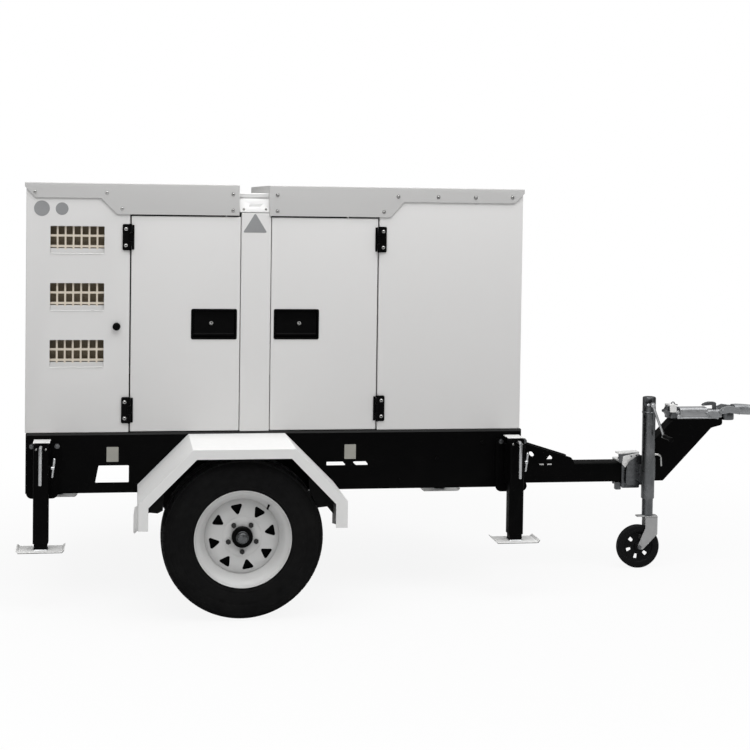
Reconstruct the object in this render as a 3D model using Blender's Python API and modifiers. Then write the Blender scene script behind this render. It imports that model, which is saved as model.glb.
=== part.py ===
"""Towable diesel generator: a sound-proofed set on a skid base, carried by a single-axle trailer.

Frame: +X towards the tow coupling, -Y is the near side, +Z up, metres. The origin is on the
ground, at the centre of the overall box, with the trailer standing on its tyres and jockey wheel.
"""
import math

import bmesh
import bpy
from mathutils import Matrix, Vector

GAP = 0.0003                 # between pieces that touch or rest on each other
TAU = 2 * math.pi

# ---------------------------------------------------------------- driving dimensions
# Lengths along X are counted from the road wheels' axle.
CANOPY_REAR = 0.875          # axle to the enclosure's rear end
CANOPY_FRONT = 1.224         # axle to the enclosure's front end
CANOPY_HALF_W = 0.450
BASE_Z = 0.445               # underside of the skid base
DECK_Z = 0.697               # top of the skid base, where the enclosure stands
CANOPY_Z = 1.733             # top of the roof
SHEET = 0.0025
BASE_WALL = 0.005
BASE_OUT = 0.009             # base's front end beyond the enclosure's

TYRE_R = 0.328
TYRE_W = 0.186
TRACK_HALF = CANOPY_HALF_W + 0.302    # trailer centre to each tyre's middle
RIM_R = 0.195
WHEEL_STEPS = 20
HUB_BORE_R = 0.020
BEAD_IN = 0.0235             # tyre beads inside the tyre's widest faces
RIM_WINDOWS = 8
WINDOW_CIRCLE_R = 0.113
WINDOW_R = 0.0255            # from a window's middle to its corners

FENDER_OUT = TRACK_HALF + TYRE_W / 2 + 0.025
FENDER_TOP_Z = 2 * TYRE_R + 0.032
FENDER_FLAT = TYRE_R - 0.125 # half length of the fender's flat top
FENDER_SLOPE = 0.210
FENDER_LIP = 0.038
FENDER_LIP_Z = TYRE_R + 0.050
FENDER_END_Z = TYRE_R - 0.028

DOOR_W = 0.456
DOOR_DEPTH = 0.026
DOOR_GAP = 0.003
POST_X0 = 0.010
POST_W = 0.125
LATCH_W, LATCH_H, LATCH_DEPTH = 0.192, 0.128, 0.020
LATCH_Z = 1.149
LATCH_INSET = 0.012          # door's free edge to the latch recess
HINGE_H = 0.109
HINGE_R = 0.0055
PIN_R = 0.003

VENT_COLS, VENT_ROWS = 7, 2
VENT_HOLE = (0.0250, 0.0345)
VENT_PITCH = (0.0325, 0.0437)
VENT_DROPS = (0.6895, 0.454, 0.2185)    # roof's top to the middle of each vent

SKIRT_TALL = 0.128
SKIRT_SHORT = 0.062
SKIRT_OUT = 0.0055           # roof sheet outside the side panels' face
ROOF_END_OUT = 0.006         # and beyond the enclosure's ends
ROOF_LAP = 0.009             # the roof halves' inner ends behind the posts' edges
BEAM_DROP = 0.033            # roof beam's top below the roof's

BEAM_W, BEAM_H = 0.100, 0.090     # drawbar section
DRAWBAR_Z = 0.383            # underside of the drawbar
GUSSET_T = 0.008
NECK_W = 0.080
NECK_TOP_Z = 0.672
DRAWBAR_REACH = 0.762        # drawbar's visible length, from enclosure to neck
CUP_REACH = 0.366            # neck's rear edge to the coupling's cup
HANDLE_REACH = 0.178         # cup to the coupling handle's end
BALL_R = 0.0255
CUP_R = 0.034

AXLE_TUBE = 0.060
SPINDLE_R = HUB_BORE_R - GAP

LEG_REAR_INSET, LEG_FRONT_INSET = 0.072, 0.039   # enclosure's ends to the legs
LEG_STAND_OFF = 0.088        # enclosure's side to the legs' middle
LEG_TUBE, LEG_WALL = 0.062, 0.004
LEG_TOP_Z = 0.668
LEG_TUBE_Z = 0.262           # lower end of the fixed outer tube
FAR_LEG_SHIFT = {"rear": 0.023, "front": -0.104}    # the far legs stand nearer the axle
FOOT_L, FOOT_W, FOOT_T = 0.196, 0.126, 0.005
FOOT_ZS = {"near": 0.231, "far": 0.250}          # undersides of the feet, legs drawn up
FOOT_LIP = 0.013
LEG_INNER_TOP_Z = 0.630
CLAMP_Z = 0.566
CLAMP_R, BAR_R, BAR_L = 0.007, 0.0055, 0.076
BRACKET_W, BRACKET_T = 0.130, 0.008

JOCKEY_BACK = 0.061          # neck's rear edge to the jockey tube
JOCKEY_STAND_OFF = 0.075     # drawbar's side to the jockey tube
JOCKEY_R, JOCKEY_WALL = 0.030, 0.0047
JOCKEY_TOP_Z, JOCKEY_LOW_Z = 0.790, 0.320
JOCKEY_INNER_Z = 0.242
JOCKEY_WHEEL_R, JOCKEY_WHEEL_W = 0.100, 0.040
JOCKEY_TRAIL = 0.044
JOCKEY_STEPS = 16
CRANK_Z = 0.757
CRANK_ARM = (0.056, -0.145)  # from the crank's axis to its grip, along X and Z
CRANK_GRIP = 0.105
PIVOT_BACK = 0.126           # neck's rear edge to the jockey wheel's swing pivot
PIVOT_Z = 0.430

SHAFT_Z = 0.985              # engine crankshaft

# ---------------------------------------------------------------- sizes worked out from them
DOOR_TOP_Z = CANOPY_Z - SKIRT_TALL - 0.004
HINGE_ZS = (DECK_Z + 0.093, DOOR_TOP_Z - 0.091)   # middles of the lower and upper hinges
VENT_ZS = tuple(CANOPY_Z - drop for drop in VENT_DROPS)
BEAM_Z = CANOPY_Z - BEAM_DROP
LEG_REAR_X = -CANOPY_REAR + LEG_REAR_INSET
LEG_FRONT_X = CANOPY_FRONT - LEG_FRONT_INSET
LEG_Y = CANOPY_HALF_W + LEG_STAND_OFF
NECK_REAR_X = CANOPY_FRONT + DRAWBAR_REACH
CUP_X = NECK_REAR_X + CUP_REACH
COUPLING_FRONT = CUP_X + HANDLE_REACH
JOCKEY_X = NECK_REAR_X - JOCKEY_BACK
JOCKEY_Y = -BEAM_W / 2 - JOCKEY_STAND_OFF
PIVOT_X = NECK_REAR_X - PIVOT_BACK
FOOT_REACH = LEG_REAR_X - FOOT_L / 2
AXLE_X = -(COUPLING_FRONT + FOOT_REACH) / 2
WHEEL_Z = TYRE_R * math.cos(math.pi / WHEEL_STEPS)
JOCKEY_WHEEL_Z = JOCKEY_WHEEL_R * math.cos(math.pi / JOCKEY_STEPS)
POST_X1 = POST_X0 + POST_W
REAR_DOOR_X = POST_X0 - DOOR_GAP - DOOR_W         # hinge edge of the rear doors
FRONT_DOOR_X = POST_X1 + DOOR_GAP + DOOR_W        # hinge edge of the front doors
VENT_X = (REAR_DOOR_X - DOOR_GAP - CANOPY_REAR) / 2 - 0.0035   # middle of each vent
PANEL_Z0 = DECK_Z + GAP
ROOF_INNER_Z = CANOPY_Z - SHEET
PANEL_TOP_Z = ROOF_INNER_Z - GAP
SIDES = (("near", -1), ("far", 1))
ENDS = (("rear", LEG_REAR_X), ("front", LEG_FRONT_X))


# ---------------------------------------------------------------- scene, materials, helpers
def fresh_scene():
    for obj in list(bpy.data.objects):
        bpy.data.objects.remove(obj, do_unlink=True)


def new_collection(name):
    coll = bpy.data.collections.new(name)
    bpy.context.scene.collection.children.link(coll)
    return coll


def new_material(name, colour, roughness, metallic=0.0):
    mat = bpy.data.materials.new(name)
    mat.use_nodes = True
    shader = mat.node_tree.nodes["Principled BSDF"]
    shader.inputs["Base Color"].default_value = (*colour, 1.0)
    shader.inputs["Roughness"].default_value = roughness
    shader.inputs["Metallic"].default_value = metallic
    mat.diffuse_color = (*colour, 1.0)
    return mat


def move_to(obj, coll):
    for old in list(obj.users_collection):
        old.objects.unlink(obj)
    coll.objects.link(obj)


def part(obj, name, mat):
    """Name a finished object as one sub-part and give it its own material."""
    obj.name = name
    obj.data.name = name
    obj.data.materials.clear()
    obj.data.materials.append(new_material(name, *mat))
    move_to(obj, PARTS)
    return obj


def at(x, y, z):
    """A point given from the axle, in the part's frame."""
    return Vector((AXLE_X + x, y, z))


def mesh_object(name, bm):
    mesh = bpy.data.meshes.new(name)
    bmesh.ops.recalc_face_normals(bm, faces=bm.faces[:])
    bm.to_mesh(mesh)
    bm.free()
    obj = bpy.data.objects.new(name, mesh)
    PARTS.objects.link(obj)
    return obj


def box(lo, hi):
    """An upright box between two corners given from the axle."""
    lo, hi = at(*lo), at(*hi)
    bpy.ops.mesh.primitive_cube_add(size=1, location=(lo + hi) / 2)
    obj = bpy.context.object
    obj.scale = [abs(b - a) for a, b in zip(lo, hi)]
    bpy.ops.object.transform_apply(location=False, rotation=False, scale=True)
    move_to(obj, PARTS)
    return obj


AXIS_TURN = {"X": (0, math.pi / 2, 0), "Y": (math.pi / 2, 0, 0), "Z": (0, 0, 0)}


def rod(centre, radius, length, axis, sides=16):
    bpy.ops.mesh.primitive_cylinder_add(vertices=sides, radius=radius, depth=length,
                                        location=at(*centre), rotation=AXIS_TURN[axis])
    obj = bpy.context.object
    move_to(obj, PARTS)
    return obj


def plate(outlines, thickness, centre, axis="Y"):
    """A flat sheet cut to outlines (the first outer, the rest holes), its face along axis.

    Along Y an outline is read as (X, Z); along Z as (X, Y); along X as (Y, Z).
    """
    curve = bpy.data.curves.new("outline", "CURVE")
    curve.dimensions = "2D"
    curve.fill_mode = "BOTH"
    curve.extrude = thickness / 2
    for points in outlines:
        spline = curve.splines.new("POLY")
        spline.points.add(len(points) - 1)
        for point, (u, v) in zip(spline.points, points):
            point.co = (u, v, 0, 1)
        spline.use_cyclic_u = True
    obj = bpy.data.objects.new("outline", curve)
    PARTS.objects.link(obj)
    turn = {"Y": Matrix.Rotation(math.pi / 2, 4, "X"), "Z": Matrix.Identity(4),
            "X": Matrix.Rotation(math.pi / 2, 4, "Z") @ Matrix.Rotation(math.pi / 2, 4, "X")}
    obj.matrix_world = Matrix.Translation(at(*centre)) @ turn[axis]
    return as_mesh(obj)


def as_mesh(obj):
    bpy.context.view_layer.update()
    depsgraph = bpy.context.evaluated_depsgraph_get()
    mesh = bpy.data.meshes.new_from_object(obj.evaluated_get(depsgraph))
    bm = bmesh.new()
    bm.from_mesh(mesh)
    bmesh.ops.remove_doubles(bm, verts=bm.verts[:], dist=1e-5)
    bm.to_mesh(mesh)
    bm.free()
    new = bpy.data.objects.new(obj.name, mesh)
    PARTS.objects.link(new)
    new.matrix_world = obj.matrix_world.copy()
    bpy.data.objects.remove(obj, do_unlink=True)
    return new


def turned(profile, centre, steps, axis_turn=(0, 0, 0), closed=False):
    """A solid turned from (radius, height) points, listed down its outer side."""
    bm = bmesh.new()
    verts = [bm.verts.new((r, 0, h)) for r, h in profile]
    for first, second in zip(verts, verts[1:]):
        bm.edges.new((first, second))
    if closed:
        bm.edges.new((verts[-1], verts[0]))
    mesh = bpy.data.meshes.new("profile")
    bm.to_mesh(mesh)
    bm.free()
    obj = bpy.data.objects.new("turned", mesh)
    PARTS.objects.link(obj)
    obj.location = at(*centre)
    obj.rotation_euler = axis_turn
    screw = obj.modifiers.new("Screw", "SCREW")
    screw.steps = screw.render_steps = steps
    screw.use_merge_vertices = True
    screw.merge_threshold = 0.0001
    return obj


def tray(lo, hi, open_side, wall):
    """A pressed sheet tray: a box without the face towards open_side, such as (0, 1, 0)."""
    obj = box(lo, hi)
    bm = bmesh.new()
    bm.from_mesh(obj.data)
    side = Vector(open_side)
    bmesh.ops.delete(bm, geom=[f for f in bm.faces if f.normal.dot(side) > 0.9], context="FACES")
    bm.to_mesh(obj.data)
    bm.free()
    solidify(obj, wall)
    return obj


def solidify(obj, wall, offset=-1):
    mod = obj.modifiers.new("Solidify", "SOLIDIFY")
    mod.thickness = wall
    mod.offset = offset
    mod.use_even_offset = True
    return obj


def boolean(obj, tool, operation):
    mod = obj.modifiers.new(operation.title(), "BOOLEAN")
    mod.operation = operation
    mod.solver = "EXACT"
    mod.object = tool
    move_to(tool, CUTTERS)
    tool.hide_render = True
    tool.display_type = "WIRE"
    return obj


def fuse(obj, *tools):
    for tool in tools:
        boolean(obj, tool, "UNION")
    return obj


def cut(obj, *tools):
    for tool in tools:
        boolean(obj, tool, "DIFFERENCE")
    return obj


def bevel(obj, width, segments=1):
    mod = obj.modifiers.new("Bevel", "BEVEL")
    mod.width = width
    mod.segments = segments
    return obj


def set_origin(obj, x, y, z):
    """Put the object's origin on its joint's axis, without moving its shape."""
    bpy.context.view_layer.update()
    goal = at(x, y, z)
    shift = obj.matrix_world.inverted() @ goal
    obj.data.transform(Matrix.Translation(-shift))
    obj.matrix_world = Matrix.Translation(goal) @ obj.matrix_world.to_3x3().to_4x4()


def smooth(obj, degrees=35):
    obj.data.shade_smooth()
    obj.data.set_sharp_from_angle(angle=math.radians(degrees))
    return obj


def arc(centre, radius, start, end, steps):
    """Points on an arc, its angles in degrees, counted from +X towards +Z."""
    angles = [math.radians(start + (end - start) * i / steps) for i in range(steps + 1)]
    return [(centre[0] + radius * math.cos(a), centre[1] + radius * math.sin(a)) for a in angles]


# colour, roughness, metallic
CREAM = ((0.60, 0.585, 0.55), 0.42)
WHITE = ((0.80, 0.80, 0.79), 0.35)
BLACK = ((0.012, 0.012, 0.013), 0.45)
RUBBER = ((0.018, 0.018, 0.018), 0.85)
ZINC = ((0.55, 0.56, 0.57), 0.38, 0.9)
CAST = ((0.10, 0.12, 0.13), 0.55, 0.2)
PLASTIC = ((0.02, 0.02, 0.02), 0.5)


# ---------------------------------------------------------------- skid base and drawbar
def side_opening(sign):
    """The slanted see-through hole in the base's side, with two slots further forward."""
    y = sign * CANOPY_HALF_W
    x, low, high = -CANOPY_REAR + 0.288, BASE_Z + 0.043, BASE_Z + 0.114
    hole = [(x + 0.0135, high), (x, low), (x + 0.138, low), (x + 0.138, high)]
    low, high = BASE_Z + 0.1025, BASE_Z + 0.1180
    slots = [[(0.3825, high), (0.3825, low), (0.4665, low), (0.4520, high)],
             [(0.4925, high), (0.5095, low), (0.5635, low), (0.5510, high)]]
    return [plate([outline], 0.04, (0, y, 0)) for outline in (hole, *slots)]


def base_frame():
    base = tray((-CANOPY_REAR + 0.003, -CANOPY_HALF_W, BASE_Z),
                (CANOPY_FRONT + BASE_OUT, CANOPY_HALF_W, DECK_Z), (0, 0, -1), BASE_WALL)
    drawbar_slot = box((0, -BEAM_W / 2 - GAP, 0), (CANOPY_FRONT + 0.1, BEAM_W / 2 + GAP,
                                                   DRAWBAR_Z + BEAM_H + GAP))
    cut(base, drawbar_slot, *side_opening(-1), *side_opening(1))
    part(base, "base_frame", BLACK)


TANK_X0, TANK_X1 = -0.40, 0.33
TANK_HALF_W = 0.34


def fuel_tank():
    low = DRAWBAR_Z + BEAM_H + 0.010
    tank = box((TANK_X0, -TANK_HALF_W, low), (TANK_X1, TANK_HALF_W, DECK_Z - BASE_WALL - GAP))
    part(bevel(tank, 0.015), "fuel_tank", PLASTIC)


BEARER_XS = (CANOPY_FRONT - 0.494, CANOPY_FRONT - 0.204)


def drawbar():
    """The centre beam, its cross bearers between the base's walls, and the gussets at its end."""
    beam_rear = BEARER_XS[0] - 0.045
    beam_front = NECK_REAR_X - GAP
    top = DRAWBAR_Z + BEAM_H
    beam = box((beam_rear, -BEAM_W / 2, DRAWBAR_Z), (beam_front, BEAM_W / 2, top))
    bearer_y = CANOPY_HALF_W - BASE_WALL - GAP
    for x in BEARER_XS:
        fuse(beam, box((x - 0.03, -bearer_y, BASE_Z + 0.003), (x + 0.03, bearer_y, top - 0.002)))
    x, z = CANOPY_FRONT + BASE_OUT, DRAWBAR_Z + BEAM_H
    gusset = [(x + 0.001, z + 0.132), (x + 0.350, z + 0.024), (x + 0.360, z + 0.003),
              (x + 0.360, DRAWBAR_Z + 0.007), (x + 0.001, DRAWBAR_Z + 0.007)]
    oval = [(x + 0.156 + 0.011 * math.cos(a) - 0.006 * math.sin(a), z + 0.044 + 0.012 * math.sin(a))
            for a in (TAU * i / 10 for i in range(10))]
    triangle = [(x + 0.224, z + 0.013), (x + 0.254, z + 0.013), (x + 0.257, z + 0.026),
                (x + 0.243, z + 0.041)]
    for sign in (-1, 1):
        y = sign * (BEAM_W / 2 + GUSSET_T / 2 - 0.001)
        fuse(beam, plate([gusset, oval[::-1], triangle[::-1]], GUSSET_T, (0, y, 0)))
    flange = box((x + GAP, -BEAM_W, z - 0.003), (x + 0.008, BEAM_W, z + 0.167))
    fuse(beam, flange)
    part(beam, "drawbar", BLACK)


def gooseneck():
    x, low, top = NECK_REAR_X, DRAWBAR_Z, NECK_TOP_Z
    outline = [(x, low), (x, top - 0.066), (x + 0.062, top), (x + 0.331, top),
               (x + 0.331, top - 0.029), (x + 0.277, top - 0.043), (x + 0.044, low)]
    part(plate([outline], NECK_W, (0, 0, 0)), "gooseneck", BLACK)


def coupling():
    z0 = NECK_TOP_Z + GAP
    half = 0.032
    x, top = CUP_X, NECK_TOP_Z
    body = box((x - 0.267, -half, z0 + 0.002), (x, half, top + 0.050))
    cup = rod((x, 0, top + 0.020), CUP_R, 0.064, "Z", 16)
    plate_base = box((x - 0.257, -NECK_W / 2, z0), (x - 0.052, NECK_W / 2, z0 + 0.008))
    bracket = plate([[(x - 0.302, z0 + 0.001), (x - 0.242, z0 + 0.001), (x - 0.242, top + 0.047),
                      (x - 0.277, top + 0.066), (x - 0.306, top + 0.050), (x - 0.312, top + 0.028)]],
                    0.030, (0, 0, 0))
    fuse(body, cup, plate_base, bracket)
    socket = rod((x, 0, top - 0.004), BALL_R, 0.030, "Z", 16)
    bpy.ops.mesh.primitive_uv_sphere_add(segments=16, ring_count=8, radius=BALL_R,
                                         location=at(x, 0, top + 0.011))
    ball = bpy.context.object
    fuse(socket, ball)
    cut(body, socket)
    part(smooth(body), "coupling_body", ZINC)

    pivot = (x - CUP_R, top + 0.036)
    cheek_t = 0.005
    outline = ([(x + 0.058, top + 0.020), (x + 0.058, top + 0.052), (x - 0.012, top + 0.060)]
               + arc(pivot, 0.014, 90, 270, 6))
    y = CUP_R + 0.0015 + cheek_t / 2
    pin = y + cheek_t / 2 + 0.002 - half
    grip_x0 = CUP_X + CUP_R + 0.006
    handle = box((grip_x0, -y, top + 0.025), (grip_x0 + 0.022, y, top + 0.047))
    grip = rod(((grip_x0 + 0.010 + COUPLING_FRONT) / 2, 0, top + 0.034), 0.021,
               COUPLING_FRONT - grip_x0 - 0.010, "X", 20)
    fuse(handle, grip)
    for sign in (-1, 1):
        fuse(handle, plate([outline], cheek_t, (0, sign * y, 0)),
             rod((pivot[0], sign * (half + GAP + pin / 2), pivot[1]), 0.006, pin, "Y", 10))
    part(smooth(handle), "coupling_handle", ZINC)
    set_origin(handle, pivot[0], 0, pivot[1])


# ---------------------------------------------------------------- axle, road wheels, fenders
def axle_beam():
    """A square beam under the base's side walls, with a spindle for each hub."""
    half = TRACK_HALF - 0.068
    s = AXLE_TUBE / 2
    beam = box((-s, -half, WHEEL_Z - s), (s, half, min(WHEEL_Z + s, DRAWBAR_Z - GAP)))
    for sign in (-1, 1):
        y = sign * (CANOPY_HALF_W - 0.030)
        fuse(beam, box((-0.06, y - 0.03, WHEEL_Z - 0.01), (0.06, y + 0.03, BASE_Z - GAP)))
        reach = TRACK_HALF + 0.028
        fuse(beam, rod((0, sign * (half + reach) / 2, WHEEL_Z), SPINDLE_R, reach - half + 0.01, "Y",
                       WHEEL_STEPS))
    part(beam, "axle_beam", BLACK)


def wheel_turn(sign):
    """Lay a turned shape on its side, outer face outwards, with a flat at the ground."""
    return (-sign * math.pi / 2, math.pi / WHEEL_STEPS, 0)


def tyre(side, sign):
    half = TYRE_W / 2
    bead = RIM_R - 0.017 + GAP
    crown = half - 0.026
    profile = [(bead, half - BEAD_IN), (TYRE_R * 0.70, half - 0.006), (TYRE_R * 0.80, half),
               (TYRE_R * 0.90, half - 0.004), (TYRE_R * 0.975, half - 0.014), (TYRE_R, crown),
               (TYRE_R, -crown), (TYRE_R * 0.975, -half + 0.014), (TYRE_R * 0.90, -half + 0.004),
               (TYRE_R * 0.80, -half), (TYRE_R * 0.70, -half + 0.006), (bead, -half + BEAD_IN)]
    inner = TYRE_R - 0.020
    profile += [(bead, -half + 0.036), (inner * 0.80, -half + 0.012), (inner, -crown + 0.012),
                (inner, crown - 0.012), (inner * 0.80, half - 0.012), (bead, half - 0.036)]
    obj = turned(profile, (0, sign * TRACK_HALF, WHEEL_Z), WHEEL_STEPS, wheel_turn(sign), True)
    part(smooth(obj), "tyre_" + side, RUBBER)


RIM_HALF_W = TYRE_W / 2 - 0.0095
STUD_CIRCLE_R = 0.057


def rim(side, sign):
    """A steel wheel with its hub: cap, disc, flange, drop centre and bore, all turned."""
    w = RIM_HALF_W
    seat = RIM_R - 0.017
    tyre_half = TYRE_W / 2
    profile = [(0, 0.068), (0.022, 0.066), (0.024, 0.050), (0.0415, 0.050), (0.0415, 0.034),
               (0.070, 0.034), (0.085, 0.042), (0.130, 0.038), (0.152, 0.026),
               (0.172, 0.060), (RIM_R - 0.006, w), (RIM_R, w), (RIM_R, tyre_half - 0.0155),
               (seat, tyre_half - 0.0225), (0.160, 0.036), (0.160, -0.036),
               (seat, -tyre_half + 0.0225), (RIM_R, -w), (RIM_R - 0.006, -w), (0.154, -0.040),
               (0.152, 0.012), (0.085, 0.034), (0.050, 0.026), (0.050, -0.040),
               (HUB_BORE_R, -0.040), (HUB_BORE_R, 0.034), (0, 0.034)]
    obj = turned(profile, (0, sign * TRACK_HALF, WHEEL_Z), WHEEL_STEPS, wheel_turn(sign))
    bm = bmesh.new()
    for index in range(RIM_WINDOWS):
        angle = TAU * (index + 0.25) / RIM_WINDOWS
        place = (Matrix.Rotation(angle, 4, "Z") @ Matrix.Translation((WINDOW_CIRCLE_R, 0, 0.03))
                 @ Matrix.Rotation(math.pi / 2, 4, "Z"))
        bmesh.ops.create_cone(bm, cap_ends=True, segments=3, radius1=WINDOW_R, radius2=WINDOW_R,
                              depth=0.06, matrix=place)
    windows = mesh_object("windows", bm)
    windows.location = obj.location
    windows.rotation_euler = (-sign * math.pi / 2, 0, 0)
    cut(obj, windows)
    obj.modifiers.new("Triangulate", "TRIANGULATE")
    part(smooth(obj), "rim_" + side, WHITE)


def fender(side, sign):
    flat, slope = FENDER_FLAT, FENDER_SLOPE
    end = flat + slope
    low = FENDER_TOP_Z - slope
    outer = [(-end, FENDER_LIP_Z), (-end, low), (-flat, FENDER_TOP_Z), (flat, FENDER_TOP_Z),
             (end, low), (end, FENDER_LIP_Z)]
    lip = FENDER_LIP
    corner = lip * math.tan(math.pi / 8)
    inner = [(-end + lip, FENDER_LIP_Z), (-end + lip, low - corner),
             (-flat + corner, FENDER_TOP_Z - lip), (flat - corner, FENDER_TOP_Z - lip),
             (end - lip, low - corner), (end - lip, FENDER_LIP_Z)]
    back = [(x, FENDER_END_Z if z == FENDER_LIP_Z else z) for x, z in outer]
    y_out, y_in = sign * FENDER_OUT, sign * (CANOPY_HALF_W + GAP)
    bm = bmesh.new()
    rows = [[bm.verts.new(at(x, y, z)) for x, z in points]
            for points, y in ((inner, y_out), (outer, y_out), (back, y_in))]
    for row, following in zip(rows, rows[1:]):
        for a, b, c, d in zip(row, row[1:], following[1:], following):
            bm.faces.new((a, b, c, d))
    obj = mesh_object("fender_" + side, bm)
    outward = 1 if obj.data.polygons[7].normal.z > 0 else -1
    solidify(obj, 0.003, -outward)
    part(obj, "fender_" + side, WHITE)


# ---------------------------------------------------------------- enclosure
def side_panel(end, side, sign):
    """A fixed side panel: rear ones carry the punched air inlets."""
    if end == "rear":
        x0, x1 = -CANOPY_REAR, REAR_DOOR_X - DOOR_GAP
    else:
        x0, x1 = FRONT_DOOR_X + DOOR_GAP, CANOPY_FRONT
    y0 = sign * CANOPY_HALF_W
    y1 = sign * (CANOPY_HALF_W - 0.030)
    panel = tray((x0, min(y0, y1), PANEL_Z0), (x1, max(y0, y1), PANEL_TOP_Z), (0, -sign, 0), SHEET)
    if end == "rear":
        for z in VENT_ZS:
            cut(panel, vent_cutter(VENT_X, y0, z, VENT_COLS))
        if sign < 0:
            cut(panel, rod((KNOB_X, y0, KNOB_Z), KNOB_SHANK_R + GAP, 0.02, "Y", 16))
    part(panel, f"panel_{end}_{side}", CREAM)


def vent_cutter(x, y, z, columns):
    """A grid of punched rectangles around (x, z), as one arrayed cutter."""
    px, pz = VENT_PITCH
    hx, hz = VENT_HOLE
    left = x - px * (columns - 1) / 2
    low = z - pz * (VENT_ROWS - 1) / 2
    hole = box((left - hx / 2, y - 0.01, low - hz / 2), (left + hx / 2, y + 0.01, low + hz / 2))
    for count, offset in ((columns, (px, 0, 0)), (VENT_ROWS, (0, 0, pz))):
        array = hole.modifiers.new("Array", "ARRAY")
        array.count = count
        array.use_relative_offset = False
        array.use_constant_offset = True
        array.constant_offset_displace = offset
    return hole


END_INSET, END_DEPTH = 0.001, 0.028


def end_panel(end):
    """The end walls close the enclosure between the side panels; the front one lets hot air out."""
    y = CANOPY_HALF_W - 0.030 - GAP
    if end == "rear":
        x0, open_side = -CANOPY_REAR + END_INSET, (1, 0, 0)
    else:
        x0, open_side = CANOPY_FRONT - END_INSET - END_DEPTH, (-1, 0, 0)
    x1 = x0 + END_DEPTH
    panel = tray((x0, -y, PANEL_Z0), (x1, y, PANEL_TOP_Z), open_side, SHEET)
    if end == "front":
        slot = box((x1 - 0.01, -0.26, 0.90), (x1 + 0.01, 0.26, 0.925))
        array = slot.modifiers.new("Array", "ARRAY")
        array.count = 9
        array.use_relative_offset = False
        array.use_constant_offset = True
        array.constant_offset_displace = (0, 0, 0.055)
        cut(panel, slot)
    part(panel, "end_" + end, CREAM)


def centre_frame():
    """The posts between the doors and the roof beam over them: one welded portal."""
    y, depth = CANOPY_HALF_W, 0.030
    post_top = CANOPY_Z - SKIRT_TALL - GAP
    beam_low = DOOR_TOP_Z + 2 * GAP
    x0, x1 = POST_X0 - ROOF_LAP + GAP, POST_X1 - ROOF_LAP - GAP
    frame = box((x0, -y, beam_low), (x1, y, BEAM_Z))
    for sign in (-1, 1):
        y0, y1 = sorted((sign * y, sign * (y - depth)))
        fuse(frame, box((POST_X0, y0, PANEL_Z0), (POST_X1, y1, post_top)))
        y0, y1 = sorted((sign * (y - SHEET), sign * (y - depth - 0.01)))
        cut(frame, box((POST_X0 + SHEET, y0, PANEL_Z0 - 0.01), (POST_X1 - SHEET, y1, beam_low - 0.01)))
    cut(frame, box((x0 + SHEET, -y + 0.05, beam_low - 0.01), (x1 - SHEET, y - 0.05, BEAM_Z - 0.003)))
    part(frame, "centre_frame", CREAM)


def roof(end):
    """A roof half: top sheet, side skirts that step down beside the doors, and both ends."""
    if end == "rear":
        outer_x, inner_x = -CANOPY_REAR - ROOF_END_OUT, POST_X0 - ROOF_LAP
        step_x, low_x = (-0.572, -0.506), 0.018
    else:
        outer_x, inner_x = CANOPY_FRONT + ROOF_END_OUT, POST_X1 - ROOF_LAP
        step_x, low_x = (0.702, 0.643), 0.018
    direction = 1 if outer_x < inner_x else -1
    top = CANOPY_Z
    chamfer = SKIRT_SHORT - low_x
    outline = [(inner_x, top), (inner_x, top - SKIRT_TALL), (step_x[1], top - SKIRT_TALL),
               (step_x[0], top - SKIRT_SHORT), (outer_x + direction * chamfer, top - SKIRT_SHORT),
               (outer_x, top - low_x), (outer_x, top)]
    half = CANOPY_HALF_W + SKIRT_OUT
    bm = bmesh.new()
    sides = [[bm.verts.new(at(x, sign * half, z)) for x, z in outline] for sign in (-1, 1)]
    for verts in sides:
        bm.faces.new(verts)
    near, far = sides
    bm.faces.new((near[0], near[-1], far[-1], far[0]))
    bm.faces.new((near[-1], near[-2], far[-2], far[-1]))
    bm.faces.new((near[0], near[1], far[1], far[0]))
    obj = mesh_object("roof", bm)
    top_face = max(obj.data.polygons, key=lambda face: abs(face.normal.z))
    solidify(obj, SHEET, -1 if top_face.normal.z > 0 else 1)
    part(obj, "roof_" + end, CREAM)


# ---------------------------------------------------------------- doors, hinges, latches
def door_frame(end):
    """Hinge edge, direction from it to the free edge, and the hinge axis of one door."""
    if end == "rear":
        return REAR_DOOR_X, 1, REAR_DOOR_X - DOOR_GAP / 2
    return FRONT_DOOR_X, -1, FRONT_DOOR_X + DOOR_GAP / 2


HINGE_OUT = 0.0075           # hinge axis outside the door's face
LEAF_W, LEAF_T = 0.022, 0.003


def knuckle_spans(z):
    """Heights of the hinge's three knuckles: fixed, moving, fixed."""
    third = HINGE_H / 3
    return [(z - HINGE_H / 2 + i * third + GAP, z - HINGE_H / 2 + (i + 1) * third - GAP)
            for i in range(3)]


KNUCKLE_SIDES = 6
PIN_BORE_R = (PIN_R + GAP) / math.cos(math.pi / KNUCKLE_SIDES)


def upright(x, y, z0, z1, radius, sides=KNUCKLE_SIDES):
    return rod((x, y, (z0 + z1) / 2), radius, z1 - z0, "Z", sides)


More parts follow.
